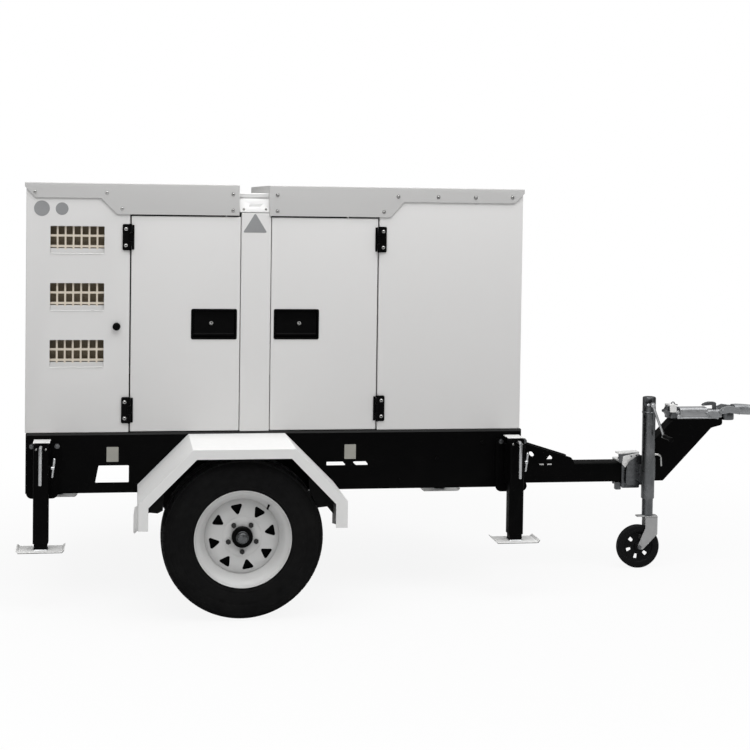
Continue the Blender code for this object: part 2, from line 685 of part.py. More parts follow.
def door(end, side, sign):
    edge, way, axis_x = door_frame(end)
    free = edge + way * DOOR_W
    face = sign * CANOPY_HALF_W
    inner = sign * (CANOPY_HALF_W - DOOR_DEPTH)
    x0, x1 = sorted((edge, free))
    y0, y1 = sorted((face, inner))
    obj = tray((x0, y0, PANEL_Z0 + DOOR_GAP), (x1, y1, DOOR_TOP_Z), (0, -sign, 0), SHEET)

    latch_far = free - way * LATCH_INSET
    lx0, lx1 = sorted((latch_far, latch_far - way * LATCH_W))
    lz0, lz1 = LATCH_Z - LATCH_H / 2, LATCH_Z + LATCH_H / 2
    ly0, ly1 = sorted((face - sign * 0.001, face - sign * (LATCH_DEPTH + SHEET)))
    fuse(obj, box((lx0 - SHEET, ly0, lz0 - SHEET), (lx1 + SHEET, ly1, lz1 + SHEET)))
    cy0, cy1 = sorted((face + sign * 0.01, face - sign * LATCH_DEPTH))
    cut(obj, box((lx0, cy0, lz0), (lx1, cy1, lz1)))

    axis_y = sign * (CANOPY_HALF_W + HINGE_OUT)
    for z in HINGE_ZS:
        z0, z1 = knuckle_spans(z)[1]
        py0, py1 = sorted((face - sign * 0.001, face + sign * LEAF_T))
        px0, px1 = sorted((edge + way * 0.0065, edge + way * LEAF_W))
        fuse(obj, box((px0, py0, z - HINGE_H / 2 + 0.002), (px1, py1, z + HINGE_H / 2 - 0.002)))
        wx0, wx1 = sorted((axis_x, edge + way * 0.009))
        wy0, wy1 = sorted((face, axis_y))
        fuse(obj, box((wx0, wy0, z0), (wx1, wy1, z1)), upright(axis_x, axis_y, z0, z1, HINGE_R))
        cut(obj, upright(axis_x, axis_y, z0 - 0.01, z1 + 0.01, PIN_BORE_R))
    part(obj, f"door_{end}_{side}", CREAM)
    set_origin(obj, axis_x, axis_y, LATCH_Z)


def hinge(end, side, sign):
    """Both fixed leaves of one door, bolted through the panel to their inner backing strip."""
    edge, way, axis_x = door_frame(end)
    face = sign * CANOPY_HALF_W
    axis_y = sign * (CANOPY_HALF_W + HINGE_OUT)
    panel_edge = edge - way * DOOR_GAP
    x0, x1 = sorted((panel_edge - way * 0.028, axis_x - way * (HINGE_R + 2 * GAP)))
    strip_y = sorted((face - sign * (SHEET + GAP), face - sign * (SHEET + GAP + 0.003)))
    sx0, sx1 = sorted((panel_edge - way * 0.026, panel_edge - way * (SHEET + 0.002)))
    strip = box((sx0, strip_y[0], HINGE_ZS[0] - HINGE_H / 2), (sx1, strip_y[1],
                                                                HINGE_ZS[1] + HINGE_H / 2))
    leaf_y = sorted((face + sign * GAP, face + sign * (GAP + LEAF_T)))
    bolt_x = panel_edge - way * 0.016
    for z in HINGE_ZS:
        fuse(strip, box((x0, leaf_y[0], z - HINGE_H / 2), (x1, leaf_y[1], z + HINGE_H / 2)))
        spans = knuckle_spans(z)
        for z0, z1 in (spans[0], spans[2]):
            wx0, wx1 = sorted((axis_x, panel_edge - way * 0.010))
            wy0, wy1 = sorted((face + sign * GAP, axis_y))
            fuse(strip, box((wx0, wy0, z0), (wx1, wy1, z1)),
                 upright(axis_x, axis_y, z0, z1, HINGE_R))
        fuse(strip, upright(axis_x, axis_y, z - HINGE_H / 2 + 0.005, z + HINGE_H / 2 - 0.005, PIN_R))
        for dz in (-0.034, 0.034):
            fuse(strip, rod((bolt_x, face, z + dz), BOLT_R, 0.012, "Y", BOLT_SIDES))
    part(strip, f"hinge_{end}_{side}", BLACK)


BOLT_R, BOLT_SIDES = 0.004, 6


def bolt_holes(end, sign):
    """Clearance holes for a hinge's bolts in its panel."""
    edge, way, _ = door_frame(end)
    x = edge - way * (DOOR_GAP + 0.016)
    return [rod((x, sign * CANOPY_HALF_W, z + dz), BOLT_R + GAP, 0.02, "Y", BOLT_SIDES)
            for z in HINGE_ZS for dz in (-0.034, 0.034)]


PADDLE_T = 0.008
PADDLE_MARGIN = 0.006


def latch(end, side, sign):
    """The paddle in the door's recess; it tips out about pins near its upper edge."""
    edge, way, _ = door_frame(end)
    free = edge + way * DOOR_W
    latch_far = free - way * LATCH_INSET
    lx0, lx1 = sorted((latch_far, latch_far - way * LATCH_W))
    face = sign * CANOPY_HALF_W
    y_out = face - sign * 0.002
    y_in = y_out - sign * PADDLE_T
    y0, y1 = sorted((y_out, y_in))
    top = LATCH_Z + LATCH_H / 2 - PADDLE_MARGIN
    low = LATCH_Z - LATCH_H / 2 + 0.016
    paddle = box((lx0 + PADDLE_MARGIN, y0, low), (lx1 - PADDLE_MARGIN, y1, top))
    axis_y, axis_z = (y0 + y1) / 2, top - 0.006
    fuse(paddle, rod(((lx0 + lx1) / 2, axis_y, axis_z), 0.003, LATCH_W - 2 * GAP, "X", 10))
    key_x = (lx0 + lx1) / 2
    fuse(paddle, rod((key_x, y_out, LATCH_Z + 0.004), 0.012, 0.004, "Y", 16))
    part(paddle, f"latch_{end}_{side}", PLASTIC)
    set_origin(paddle, key_x, axis_y, axis_z)


KNOB_X = REAR_DOOR_X - 0.056
KNOB_Z = LATCH_Z - 0.010
KNOB_R, KNOB_SHANK_R = 0.0165, 0.008
KNOB_TRAVEL = 0.006


def stop_knob():
    """The round black push knob beside the near rear door."""
    face = -CANOPY_HALF_W
    cap = turned([(0, 0.014), (0.010, 0.012), (KNOB_R, 0.006), (KNOB_R, 0.0),
                  (KNOB_SHANK_R, 0.0), (KNOB_SHANK_R, -0.030), (0, -0.030)],
                 (KNOB_X, face - KNOB_TRAVEL - 0.0005, KNOB_Z), 16, (math.pi / 2, 0, 0))
    part(smooth(cap), "stop_knob", PLASTIC)


# ---------------------------------------------------------------- corner legs
def leg(end, x, side, sign):
    """A fixed outer tube on a stand-off bracket, the sliding inner tube, and its clamp screw."""
    name = f"{end}_{side}"
    face = sign * CANOPY_HALF_W
    y = sign * LEG_Y
    half, foot_z = LEG_TUBE / 2, FOOT_ZS[side]
    tube = box((x - half, y - half, LEG_TUBE_Z), (x + half, y + half, LEG_TOP_Z))
    back_near, back_far = face + sign * GAP, face + sign * (GAP + BRACKET_T)
    w = BRACKET_W / 2
    lobe = 0.024
    low = BASE_Z
    high = LEG_TOP_Z - 0.013
    outline = ([(x + w, high), (x - w, high)] + arc((x - w + lobe, low + 0.018), lobe, 180, 290, 6)
               + [(x, low + 0.010)] + arc((x + w - lobe, low + 0.018), lobe, 250, 360, 6))
    fuse(tube, plate([outline], BRACKET_T, (0, (back_near + back_far) / 2, 0)))
    sy0, sy1 = sorted((back_far - sign * 0.001, y - sign * (half - 0.001)))
    fuse(tube, box((x - 0.034, sy0, LEG_TOP_Z - 0.198), (x + 0.034, sy1, LEG_TOP_Z - 0.028)))
    cap_y0, cap_y1 = sorted((y + sign * (half + 0.006), back_far - sign * 0.001))
    fuse(tube, box((x - 0.038, cap_y0, LEG_TOP_Z - 0.001), (x + 0.038, cap_y1, LEG_TOP_Z + 0.007)))
    bore = half - LEG_WALL
    cut(tube, box((x - bore, y - bore, LEG_TUBE_Z - 0.01), (x + bore, y + bore, LEG_TOP_Z - 0.006)))
    boss = rod((x + half + 0.004, y, CLAMP_Z), 0.013, 0.010, "X", 12)
    fuse(tube, boss)
    cut(tube, rod((x + half, y, CLAMP_Z), CLAMP_R + GAP, 0.030, "X", 12))
    part(tube, "leg_bracket_" + name, BLACK)

    inner_half = bore - GAP
    inner = box((x - inner_half, y - inner_half, foot_z + FOOT_T - 0.001),
                (x + inner_half, y + inner_half, LEG_INNER_TOP_Z))
    hollow = inner_half - LEG_WALL
    cut(inner, box((x - hollow, y - hollow, foot_z + 0.02), (x + hollow, y + hollow, 0.7)))
    fx, fz, t, lip = FOOT_L / 2, foot_z, FOOT_T, FOOT_LIP
    profile = [(x - fx, fz + lip), (x - fx + lip, fz), (x + fx - lip, fz), (x + fx, fz + lip),
               (x + fx - t, fz + lip + t * 0.4), (x + fx - lip - t * 0.4, fz + t),
               (x - fx + lip + t * 0.4, fz + t), (x - fx + t, fz + lip + t * 0.4)]
    fuse(inner, plate([profile[::-1]], FOOT_W, (0, y, 0)))
    part(inner, "leg_inner_" + name, ZINC)
    set_origin(inner, x, y, LEG_TUBE_Z)

    tip = x + inner_half + GAP
    bar_x = x + half + 0.020
    screw = rod(((tip + bar_x) / 2, y, CLAMP_Z), CLAMP_R, bar_x - tip, "X", 12)
    bpy.ops.mesh.primitive_cylinder_add(vertices=12, radius=BAR_R, depth=BAR_L,
                                        location=at(bar_x, y, CLAMP_Z),
                                        rotation=(math.radians(-14), 0, 0))
    bar = bpy.context.object
    fuse(screw, bar)
    part(smooth(screw), "leg_clamp_" + name, ZINC)
    set_origin(screw, x + half, y, CLAMP_Z)


# ---------------------------------------------------------------- jockey wheel
def jockey_clamp():
    """The clamp on the drawbar's near side, with the pivot boss the tube swings about."""
    face = -BEAM_W / 2
    y_plate = face - GAP
    z0, z1 = DRAWBAR_Z - 0.028, DRAWBAR_Z + BEAM_H + 0.058
    x0, x1 = PIVOT_X - 0.045, PIVOT_X + 0.040
    body = box((x0, y_plate - 0.008, z0), (x1, y_plate, z1))
    top = DRAWBAR_Z + BEAM_H + GAP
    fuse(body, box((x0, y_plate - 0.008, top), (x1, BEAM_W / 2 + 0.010, top + 0.008)),
         box((x0, BEAM_W / 2 + GAP, z0), (x1, BEAM_W / 2 + GAP + 0.008, top + 0.008)),
         box((x0 + 0.020, y_plate - 0.008, z0), (x1 - 0.020, BEAM_W / 2 + 0.008, DRAWBAR_Z - 0.008)))
    for x in (x0 + 0.020, x1 - 0.020):
        fuse(body, rod((x, 0, top + 0.011), 0.009, 0.010, "Z", 6))
    fuse(body, rod((PIVOT_X, y_plate - 0.012, PIVOT_Z), 0.018, 0.016, "Y", 20))
    part(smooth(body), "jockey_clamp", ZINC)


SWING_Y0 = -BEAM_W / 2 - GAP - 0.008 - 0.012      # outer end of the pivot boss


def jockey_outer():
    """The outer tube with its gear housing and the swivel plate that holds it to the clamp."""
    length = JOCKEY_TOP_Z - JOCKEY_LOW_Z
    tube = rod((JOCKEY_X, JOCKEY_Y, (JOCKEY_TOP_Z + JOCKEY_LOW_Z) / 2), JOCKEY_R, length, "Z",
               JOCKEY_STEPS)
    plate_y0 = SWING_Y0 - GAP - 0.006
    shape = [(-0.022, -0.058), (0.055, -0.058), (0.095, -0.035), (0.095, 0.070), (0.040, 0.082),
             (-0.010, 0.050), (-0.022, 0.010)]
    swivel = plate([[(PIVOT_X + dx, PIVOT_Z + dz) for dx, dz in shape]], 0.006,
                   (0, plate_y0 + 0.003, 0))
    saddle = box((JOCKEY_X - 0.030, JOCKEY_Y + JOCKEY_R - 0.006, PIVOT_Z - 0.045),
                 (JOCKEY_X + 0.028, plate_y0 + 0.004, PIVOT_Z + 0.060))
    fuse(tube, swivel, saddle)
    bore = JOCKEY_R - JOCKEY_WALL
    hole = rod((JOCKEY_X, JOCKEY_Y, (JOCKEY_LOW_Z + CRANK_Z) / 2 - 0.015), bore,
               CRANK_Z - JOCKEY_LOW_Z + 0.006, "Z", JOCKEY_STEPS)
    cut(tube, hole, rod((JOCKEY_X, JOCKEY_Y - JOCKEY_R, CRANK_Z), CRANK_R + GAP, 0.04, "Y", 16))
    part(smooth(tube), "jockey_outer", ZINC)
    set_origin(tube, PIVOT_X, SWING_Y0, PIVOT_Z)


INNER_R = JOCKEY_R - JOCKEY_WALL - GAP
INNER_TOP_Z = 0.640
CRANK_R = 0.008


def jockey_inner():
    z0 = JOCKEY_INNER_Z + GAP
    tube = rod((JOCKEY_X, JOCKEY_Y, (z0 + INNER_TOP_Z) / 2), INNER_R, INNER_TOP_Z - z0, "Z",
               JOCKEY_STEPS)
    cut(tube, rod((JOCKEY_X, JOCKEY_Y, z0 + 0.02 + 0.3), INNER_R - 0.004, 0.6, "Z", 16))
    part(smooth(tube), "jockey_inner", ZINC)
    set_origin(tube, JOCKEY_X, JOCKEY_Y, JOCKEY_LOW_Z)


FORK_T = 0.005
FORK_GAP = 0.0012


def jockey_fork():
    """The castor fork: a top plate, two raked cheeks and the axle bolt."""
    wheel_x = JOCKEY_X - JOCKEY_TRAIL
    z1 = JOCKEY_INNER_Z
    y = JOCKEY_WHEEL_W / 2 + FORK_GAP + FORK_T / 2
    top = box((JOCKEY_X - 0.055, JOCKEY_Y - y - FORK_T / 2, z1 - 0.006),
              (JOCKEY_X + 0.045, JOCKEY_Y + y + FORK_T / 2, z1))
    cheek = ([(JOCKEY_X - 0.005, z1 - 0.003), (JOCKEY_X + 0.045, z1 - 0.003),
              (JOCKEY_X + 0.045, z1 - 0.070)]
             + arc((wheel_x, JOCKEY_WHEEL_Z), 0.013, -45, -225, 6)
             + [(JOCKEY_X - 0.010, z1 - 0.050)])
    for sign in (-1, 1):
        fuse(top, plate([cheek[::-1]], FORK_T, (0, JOCKEY_Y + sign * y, 0)))
    fuse(top, rod((wheel_x, JOCKEY_Y, JOCKEY_WHEEL_Z), 0.006, 2 * y + FORK_T + 0.010, "Y", 12))
    part(smooth(top), "jockey_fork", ZINC)
    set_origin(top, JOCKEY_X, JOCKEY_Y, z1)


def jockey_wheel():
    half = JOCKEY_WHEEL_W / 2
    r = JOCKEY_WHEEL_R
    bore = 0.006 + GAP
    profile = [(0.022, half), (0.024, half - 0.012), (0.066, half - 0.012), (0.070, half - 0.003),
               (r - 0.006, half - 0.003), (r, half - 0.010), (r, -half + 0.010),
               (r - 0.006, -half + 0.003), (0.070, -half + 0.003), (0.066, -half + 0.012),
               (0.024, -half + 0.012), (0.022, -half), (bore, -half), (bore, half)]
    obj = turned(profile, (JOCKEY_X - JOCKEY_TRAIL, JOCKEY_Y, JOCKEY_WHEEL_Z), JOCKEY_STEPS,
                 (math.pi / 2, math.pi / JOCKEY_STEPS, 0), True)
    bm = bmesh.new()
    for index in range(6):
        place = (Matrix.Rotation(TAU * (index + 0.4) / 6, 4, "Z")
                 @ Matrix.Translation((0.047, 0, 0)))
        bmesh.ops.create_cone(bm, cap_ends=True, segments=6, radius1=0.009, radius2=0.009,
                              depth=0.08, matrix=place)
    holes = mesh_object("holes", bm)
    holes.location = obj.location
    holes.rotation_euler = (math.pi / 2, 0, 0)
    cut(obj, holes)
    part(smooth(obj), "jockey_wheel", RUBBER)


def jockey_crank():
    """The crank: its shaft enters the gear housing, the arm hangs down to the grip."""
    y_in = JOCKEY_Y - JOCKEY_R + 0.006
    y_arm = JOCKEY_Y - JOCKEY_R - 0.018
    shaft = rod((JOCKEY_X, (y_in + y_arm) / 2, CRANK_Z), CRANK_R, y_in - y_arm, "Y", 12)
    dx, dz = CRANK_ARM
    length = math.hypot(dx, dz)
    bpy.ops.mesh.primitive_cube_add(size=1, location=at(JOCKEY_X + dx / 2, y_arm, CRANK_Z + dz / 2))
    arm = bpy.context.object
    arm.scale = (0.018, 0.008, length + 0.018)
    bpy.ops.object.transform_apply(location=False, rotation=False, scale=True)
    arm.rotation_euler = (0, math.atan2(-dx, -dz), 0)
    grip = rod((JOCKEY_X + dx, y_arm - CRANK_GRIP / 2, CRANK_Z + dz), 0.011, CRANK_GRIP, "Y", 12)
    fuse(shaft, arm, grip)
    part(smooth(shaft), "jockey_crank", ZINC)
    set_origin(shaft, JOCKEY_X, JOCKEY_Y - JOCKEY_R, CRANK_Z)


# ---------------------------------------------------------------- power set inside
ENGINE_X0, ENGINE_X1 = 0.02, 0.56
FAN_X = 0.66
FAN_R = 0.20
RADIATOR_X0 = 0.74


def engine():
    z0 = PANEL_Z0
    block = box((ENGINE_X0, -0.125, 0.82), (ENGINE_X1, 0.125, 1.13))
    fuse(block, box((0.05, -0.10, 1.12), (0.53, 0.10, 1.21)),
         box((0.09, -0.10, 0.745), (0.50, 0.10, 0.83)),
         rod((FAN_X / 2 + ENGINE_X1 / 2 - 0.02, 0, SHAFT_Z), 0.030, FAN_X - ENGINE_X1 - 0.004, "X", 16))
    for sign in (-1, 1):
        y0, y1 = sorted((sign * 0.115, sign * 0.180))
        fuse(block, box((0.06, y0, z0), (0.14, y1, 0.86)), box((0.44, y0, z0), (0.52, y1, 0.86)))
    part(block, "engine", CAST)


def alternator():
    x1 = ENGINE_X0 - GAP
    body = rod((x1 - 0.18, 0, SHAFT_Z), 0.150, 0.36, "X", 24)
    fuse(body, box((x1 - 0.30, -0.12, PANEL_Z0), (x1 - 0.06, 0.12, SHAFT_Z - 0.08)),
         box((x1 - 0.28, -0.09, SHAFT_Z + 0.10), (x1 - 0.08, 0.09, SHAFT_Z + 0.20)))
    part(smooth(body), "alternator", CAST)


def fan():
    x0 = FAN_X - 0.022
    hub = rod((FAN_X, 0, SHAFT_Z), 0.050, 0.044 - 2 * GAP, "X", 16)
    for index in range(6):
        angle = TAU * index / 6
        bpy.ops.mesh.primitive_cube_add(size=1, location=at(
            FAN_X, math.cos(angle) * 0.115, SHAFT_Z + math.sin(angle) * 0.115))
        blade = bpy.context.object
        blade.scale = (0.004, FAN_R - 0.035, 0.060)
        bpy.ops.object.transform_apply(location=False, rotation=False, scale=True)
        blade.matrix_world = (Matrix.Translation(blade.location)
                              @ Matrix.Rotation(angle, 4, "X") @ Matrix.Rotation(0.5, 4, "Y"))
        fuse(hub, blade)
    part(hub, "fan", PLASTIC)
    set_origin(hub, x0, 0, SHAFT_Z)


def radiator():
    core = box((RADIATOR_X0, -0.27, PANEL_Z0), (RADIATOR_X0 + 0.06, 0.27, 1.42))
    part(bevel(core, 0.006), "radiator", CAST)


def muffler():
    """The silencer over the engine, on a saddle that stands on the cylinder head."""
    body = rod((0.30, 0, 1.36), 0.085, 0.46, "X", 20)
    fuse(body, box((0.18, -0.04, 1.21 + GAP), (0.24, 0.04, 1.32)),
         box((0.36, -0.04, 1.21 + GAP), (0.42, 0.04, 1.32)))
    part(smooth(body), "muffler", CAST)


def battery():
    box_ = box((-0.70, -0.20, PANEL_Z0), (-0.44, 0.00, 0.91))
    part(bevel(box_, 0.006), "battery", PLASTIC)


def control_panel():
    x0 = -CANOPY_REAR + END_INSET + SHEET + GAP
    case = box((x0, -0.24, 1.14), (x0 + 0.11, 0.24, 1.50))
    part(bevel(case, 0.004), "control_panel", CAST)


# ---------------------------------------------------------------- assembly
def assemble():
    base_frame()
    fuel_tank()
    drawbar()
    gooseneck()
    coupling()
    axle_beam()
    for side, sign in SIDES:
        tyre(side, sign)
        rim(side, sign)
        fender(side, sign)
        for end in ("rear", "front"):
            side_panel(end, side, sign)
            cut(PARTS.objects[f"panel_{end}_{side}"], *bolt_holes(end, sign))
            door(end, side, sign)
            hinge(end, side, sign)
            latch(end, side, sign)
        for end, x in ENDS:
            leg(end, x + (FAR_LEG_SHIFT[end] if side == "far" else 0), side, sign)
    for end in ("rear", "front"):
        end_panel(end)
        roof(end)
    centre_frame()
    stop_knob()
    jockey_clamp()
    jockey_outer()
    jockey_inner()
    jockey_fork()
    jockey_wheel()
    jockey_crank()
    engine()
    alternator()
    fan()
    radiator()
    muffler()
    battery()
    control_panel()


fresh_scene()
PARTS = new_collection("towable_diesel_generator")
CUTTERS = new_collection("cutters")
assemble()
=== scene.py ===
"""Looks of the towable diesel generator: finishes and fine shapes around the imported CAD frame.

Frame: metres, +X towards the tow coupling, -Y the near side, +Z up. Lengths along X in this
script are counted from the road wheels' axle and moved by at(), as in the CAD.
"""

import math

import bmesh
import bpy
from mathutils import Matrix, Vector

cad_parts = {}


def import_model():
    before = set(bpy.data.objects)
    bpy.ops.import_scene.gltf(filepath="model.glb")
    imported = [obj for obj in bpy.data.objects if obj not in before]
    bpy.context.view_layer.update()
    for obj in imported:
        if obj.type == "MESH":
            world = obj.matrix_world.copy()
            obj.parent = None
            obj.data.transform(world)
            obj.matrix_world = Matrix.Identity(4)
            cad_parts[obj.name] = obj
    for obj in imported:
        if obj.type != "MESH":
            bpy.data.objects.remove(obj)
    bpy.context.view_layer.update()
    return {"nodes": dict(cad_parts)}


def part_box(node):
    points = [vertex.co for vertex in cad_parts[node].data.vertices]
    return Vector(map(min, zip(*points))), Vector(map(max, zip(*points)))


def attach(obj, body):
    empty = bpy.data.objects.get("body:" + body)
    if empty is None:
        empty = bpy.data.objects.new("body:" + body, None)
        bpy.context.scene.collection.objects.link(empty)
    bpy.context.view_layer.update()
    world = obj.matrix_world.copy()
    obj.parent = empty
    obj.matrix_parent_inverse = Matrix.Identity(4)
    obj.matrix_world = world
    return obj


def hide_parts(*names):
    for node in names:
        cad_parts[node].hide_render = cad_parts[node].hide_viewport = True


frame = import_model()

TAU = 2 * math.pi
NODES = frame["nodes"]
BOX = {name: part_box(name) for name in NODES}
SIDES = (("near", -1), ("far", 1))
ENDS = ("rear", "front")
AXLE = (BOX["tyre_near"][0] + BOX["tyre_near"][1]) / 2


def at(x, y, z):
    return Vector((AXLE.x + x, y, z))


def span(name):
    """A node's lowest and highest corners, with X counted from the axle."""
    shift = Vector((AXLE.x, 0, 0))
    return BOX[name][0] - shift, BOX[name][1] - shift


# ---------------------------------------------------------------- driving dimensions
PANEL_LO = span("panel_rear_near")[0]
FACE_Y = -PANEL_LO.y                       # side panels' outer face, from the middle
CANOPY_X0, CANOPY_X1 = PANEL_LO.x, span("panel_front_near")[1].x
DECK_Z = PANEL_LO.z
ROOF_Z = BOX["roof_rear"][1].z
BASE_Z = BOX["base_frame"][0].z
SHEET = 0.0025
GAP = 0.0003
FOLD_R = 0.004                             # bend radius of folded sheet
SKIRT_TALL, SKIRT_SHORT, SKIRT_OUT = 0.128, 0.062, 0.0055
DOOR_GAP = 0.003
WHEEL_STEPS = 144


def face_band(sign, a, b):
    """Two Y values in order, each so far outside one side's outer face."""
    return sorted((sign * (FACE_Y + a), sign * (FACE_Y + b)))


# ---------------------------------------------------------------- materials
class Shader:
    """A node material built around one Principled BSDF, with helpers for its textures."""

    def __init__(self, name, colour, roughness, metallic=0.0, specular=0.5):
        self.mat = bpy.data.materials.new(name)
        self.mat.use_nodes = True
        self.tree = self.mat.node_tree
        self.bsdf = self.tree.nodes["Principled BSDF"]
        self.mat.diffuse_color = (*colour, 1)
        self.colour = colour
        self.set("Base Color", (*colour, 1))
        self.set("Roughness", roughness)
        self.set("Metallic", metallic)
        self.set("Specular IOR Level", specular)
        self.place = self.add("ShaderNodeTexCoord").outputs["Object"]

    def set(self, socket, value):
        self.bsdf.inputs[socket].default_value = value

    def add(self, kind, **values):
        node = self.tree.nodes.new(kind)
        for key, value in values.items():
            setattr(node, key, value)
        return node

    def link(self, source, target):
        self.tree.links.new(source, target)

    def noise(self, scale, detail=3.0, stretch=(1, 1, 1)):
        mapping = self.add("ShaderNodeMapping")
        mapping.inputs["Scale"].default_value = stretch
        node = self.add("ShaderNodeTexNoise")
        node.inputs["Scale"].default_value = scale
        node.inputs["Detail"].default_value = detail
        self.link(self.place, mapping.inputs["Vector"])
        self.link(mapping.outputs["Vector"], node.inputs["Vector"])
        return node.outputs["Fac"]

    def cells(self, scale):
        node = self.add("ShaderNodeTexVoronoi")
        node.inputs["Scale"].default_value = scale
        self.link(self.place, node.inputs["Vector"])
        return node.outputs["Color"]

    def ramp(self, source, low, high, start=0.3, end=0.7):
        node = self.add("ShaderNodeMapRange")
        node.inputs["From Min"].default_value = start
        node.inputs["From Max"].default_value = end
        node.inputs["To Min"].default_value = low
        node.inputs["To Max"].default_value = high
        self.link(source, node.inputs["Value"])
        return node.outputs["Result"]

    def tint(self, source, other, amount=1.0):
        """Blend the base colour towards another one where source is high."""
        mix = self.add("ShaderNodeMix", data_type="RGBA")
        scaled = self.add("ShaderNodeMath", operation="MULTIPLY", use_clamp=True)
        scaled.inputs[1].default_value = amount
        self.link(source, scaled.inputs[0])
        self.link(scaled.outputs[0], mix.inputs["Factor"])
        base = self.bsdf.inputs["Base Color"]
        if base.is_linked:
            self.link(base.links[0].from_socket, mix.inputs["A"])
        else:
            mix.inputs["A"].default_value = (*self.colour, 1)
        mix.inputs["B"].default_value = (*other, 1)
        self.link(mix.outputs["Result"], base)
        return self

    def rough(self, source, low, high):
        self.link(self.ramp(source, low, high), self.bsdf.inputs["Roughness"])
        return self

    def bump(self, source, distance, strength=1.0):
        node = self.add("ShaderNodeBump")
        node.inputs["Distance"].default_value = distance
        node.inputs["Strength"].default_value = strength
        self.link(source, node.inputs["Height"])
        normal = self.bsdf.inputs["Normal"]
        if normal.is_linked:
            self.link(normal.links[0].from_socket, node.inputs["Normal"])
        self.link(node.outputs["Normal"], normal)
        return self

    def height(self, low, high):
        """1 below low, 0 above high, along Z."""
        split = self.add("ShaderNodeSeparateXYZ")
        self.link(self.place, split.inputs[0])
        return self.ramp(split.outputs["Z"], 1.0, 0.0, low, high)

    def product(self, a, b):
        node = self.add("ShaderNodeMath", operation="MULTIPLY")
        self.link(a, node.inputs[0])
        self.link(b, node.inputs[1])
        return node.outputs[0]


def powder_coat(name, colour, low, high, roughness=(0.34, 0.44), specular=0.4):
    """Sprayed powder: orange peel, faint cloudiness, and a trace of road dust low down."""
    s = Shader(name, colour, sum(roughness) / 2, specular=specular)
    dust = s.product(s.height(low, high), s.ramp(s.noise(9, 6), 0.0, 1.0, 0.35, 0.75))
    s.tint(s.noise(1.7, 4), tuple(c * 0.975 for c in colour), 0.7)
    s.tint(dust, (0.42, 0.39, 0.34), 0.03)
    s.rough(s.noise(35, 4), *roughness)
    s.bump(s.noise(260, 2), 0.00012, 0.35)
    return s.mat


def satin_black():
    s = Shader("satin_black_paint", (0.0015, 0.0015, 0.0016), 0.42, specular=0.035)
    dust = s.product(s.height(0.25, 0.75), s.ramp(s.noise(14, 8), 0.0, 1.0, 0.45, 0.8))
    s.tint(dust, (0.045, 0.042, 0.038), 0.05)
    s.rough(s.noise(60, 4), 0.34, 0.52)
    s.bump(s.noise(420, 2), 0.00012, 0.3)
    return s.mat


def zinc_plate(name="zinc_plate", colour=(0.62, 0.63, 0.64), roughness=(0.2, 0.42), spangle=26.0):
    """Galvanised steel: spangled grains, drawn streaks and a mottled gloss."""
    s = Shader(name, colour, 0.3, metallic=1.0)
    grain = s.add("ShaderNodeSeparateColor")
    s.link(s.cells(spangle), grain.inputs[0])
    s.tint(grain.outputs[0], tuple(c * 0.72 for c in colour), 0.55)
    s.tint(s.ramp(s.noise(12, 6), 0.0, 1.0, 0.5, 0.8), (0.36, 0.36, 0.37), 0.35)
    s.rough(s.noise(70, 5), *roughness)
    s.bump(s.noise(300, 3), 0.0001, 0.4)
    return s.mat


def dark_zinc():
    return zinc_plate("tube_zinc", (0.135, 0.14, 0.145), (0.22, 0.40), 34.0)


def cast_metal():
    s = Shader("cast_coupling", (0.50, 0.51, 0.52), 0.4, metallic=0.9)
    s.tint(s.noise(30, 6), (0.26, 0.26, 0.27), 0.6)
    s.rough(s.noise(90, 4), 0.3, 0.55)
    s.bump(s.noise(220, 4), 0.0006, 0.5)
    return s.mat


def tyre_rubber():
    s = Shader("tyre_rubber", (0.0030, 0.0030, 0.0032), 0.7, specular=0.10)
    s.tint(s.ramp(s.noise(6, 5), 0.0, 1.0, 0.45, 0.75), (0.010, 0.0095, 0.009), 0.35)
    s.rough(s.noise(40, 4), 0.55, 0.8)
    s.bump(s.noise(500, 3), 0.0002, 0.4)
    return s.mat


def moulded_black(name="moulded_black", roughness=(0.28, 0.36), colour=(0.0013, 0.0013, 0.0014)):
    s = Shader(name, colour, 0.3, specular=0.04)
    s.rough(s.noise(80, 3), *roughness)
    s.tint(s.noise(20, 4), (0.006, 0.006, 0.006), 0.35)
    s.bump(s.noise(900, 2), 0.00008, 0.4)
    return s.mat


def bright_screw():
    s = Shader("bright_screw", (0.52, 0.52, 0.51), 0.22, metallic=1.0)
    s.rough(s.noise(200, 3), 0.14, 0.32)
    s.tint(s.noise(120, 4), (0.30, 0.30, 0.29), 0.5)
    return s.mat


def foam_liner():
    """Brown-grey acoustic foam behind the louvres and on the doors."""
    s = Shader("acoustic_foam", (0.20, 0.165, 0.115), 0.95, specular=0.1)
    s.tint(s.noise(160, 4), (0.10, 0.082, 0.055), 0.8)
    s.bump(s.noise(110, 3), 0.004, 0.6)
    return s.mat


def plain(name, colour, roughness, metallic=0.0, grain=60, depth=0.0002):
    """A simple material with mottled tone, uneven gloss and a light surface grain."""
    s = Shader(name, colour, roughness, metallic, specular=0.1 if max(colour) < 0.05 else 0.5)
    s.tint(s.noise(grain, 5), tuple(c * 0.75 for c in colour), 0.6)
    s.rough(s.noise(grain * 1.5, 3), roughness * 0.85, min(1.0, roughness * 1.2))
    s.bump(s.noise(grain * 4, 3), depth, 0.5)
    return s.mat


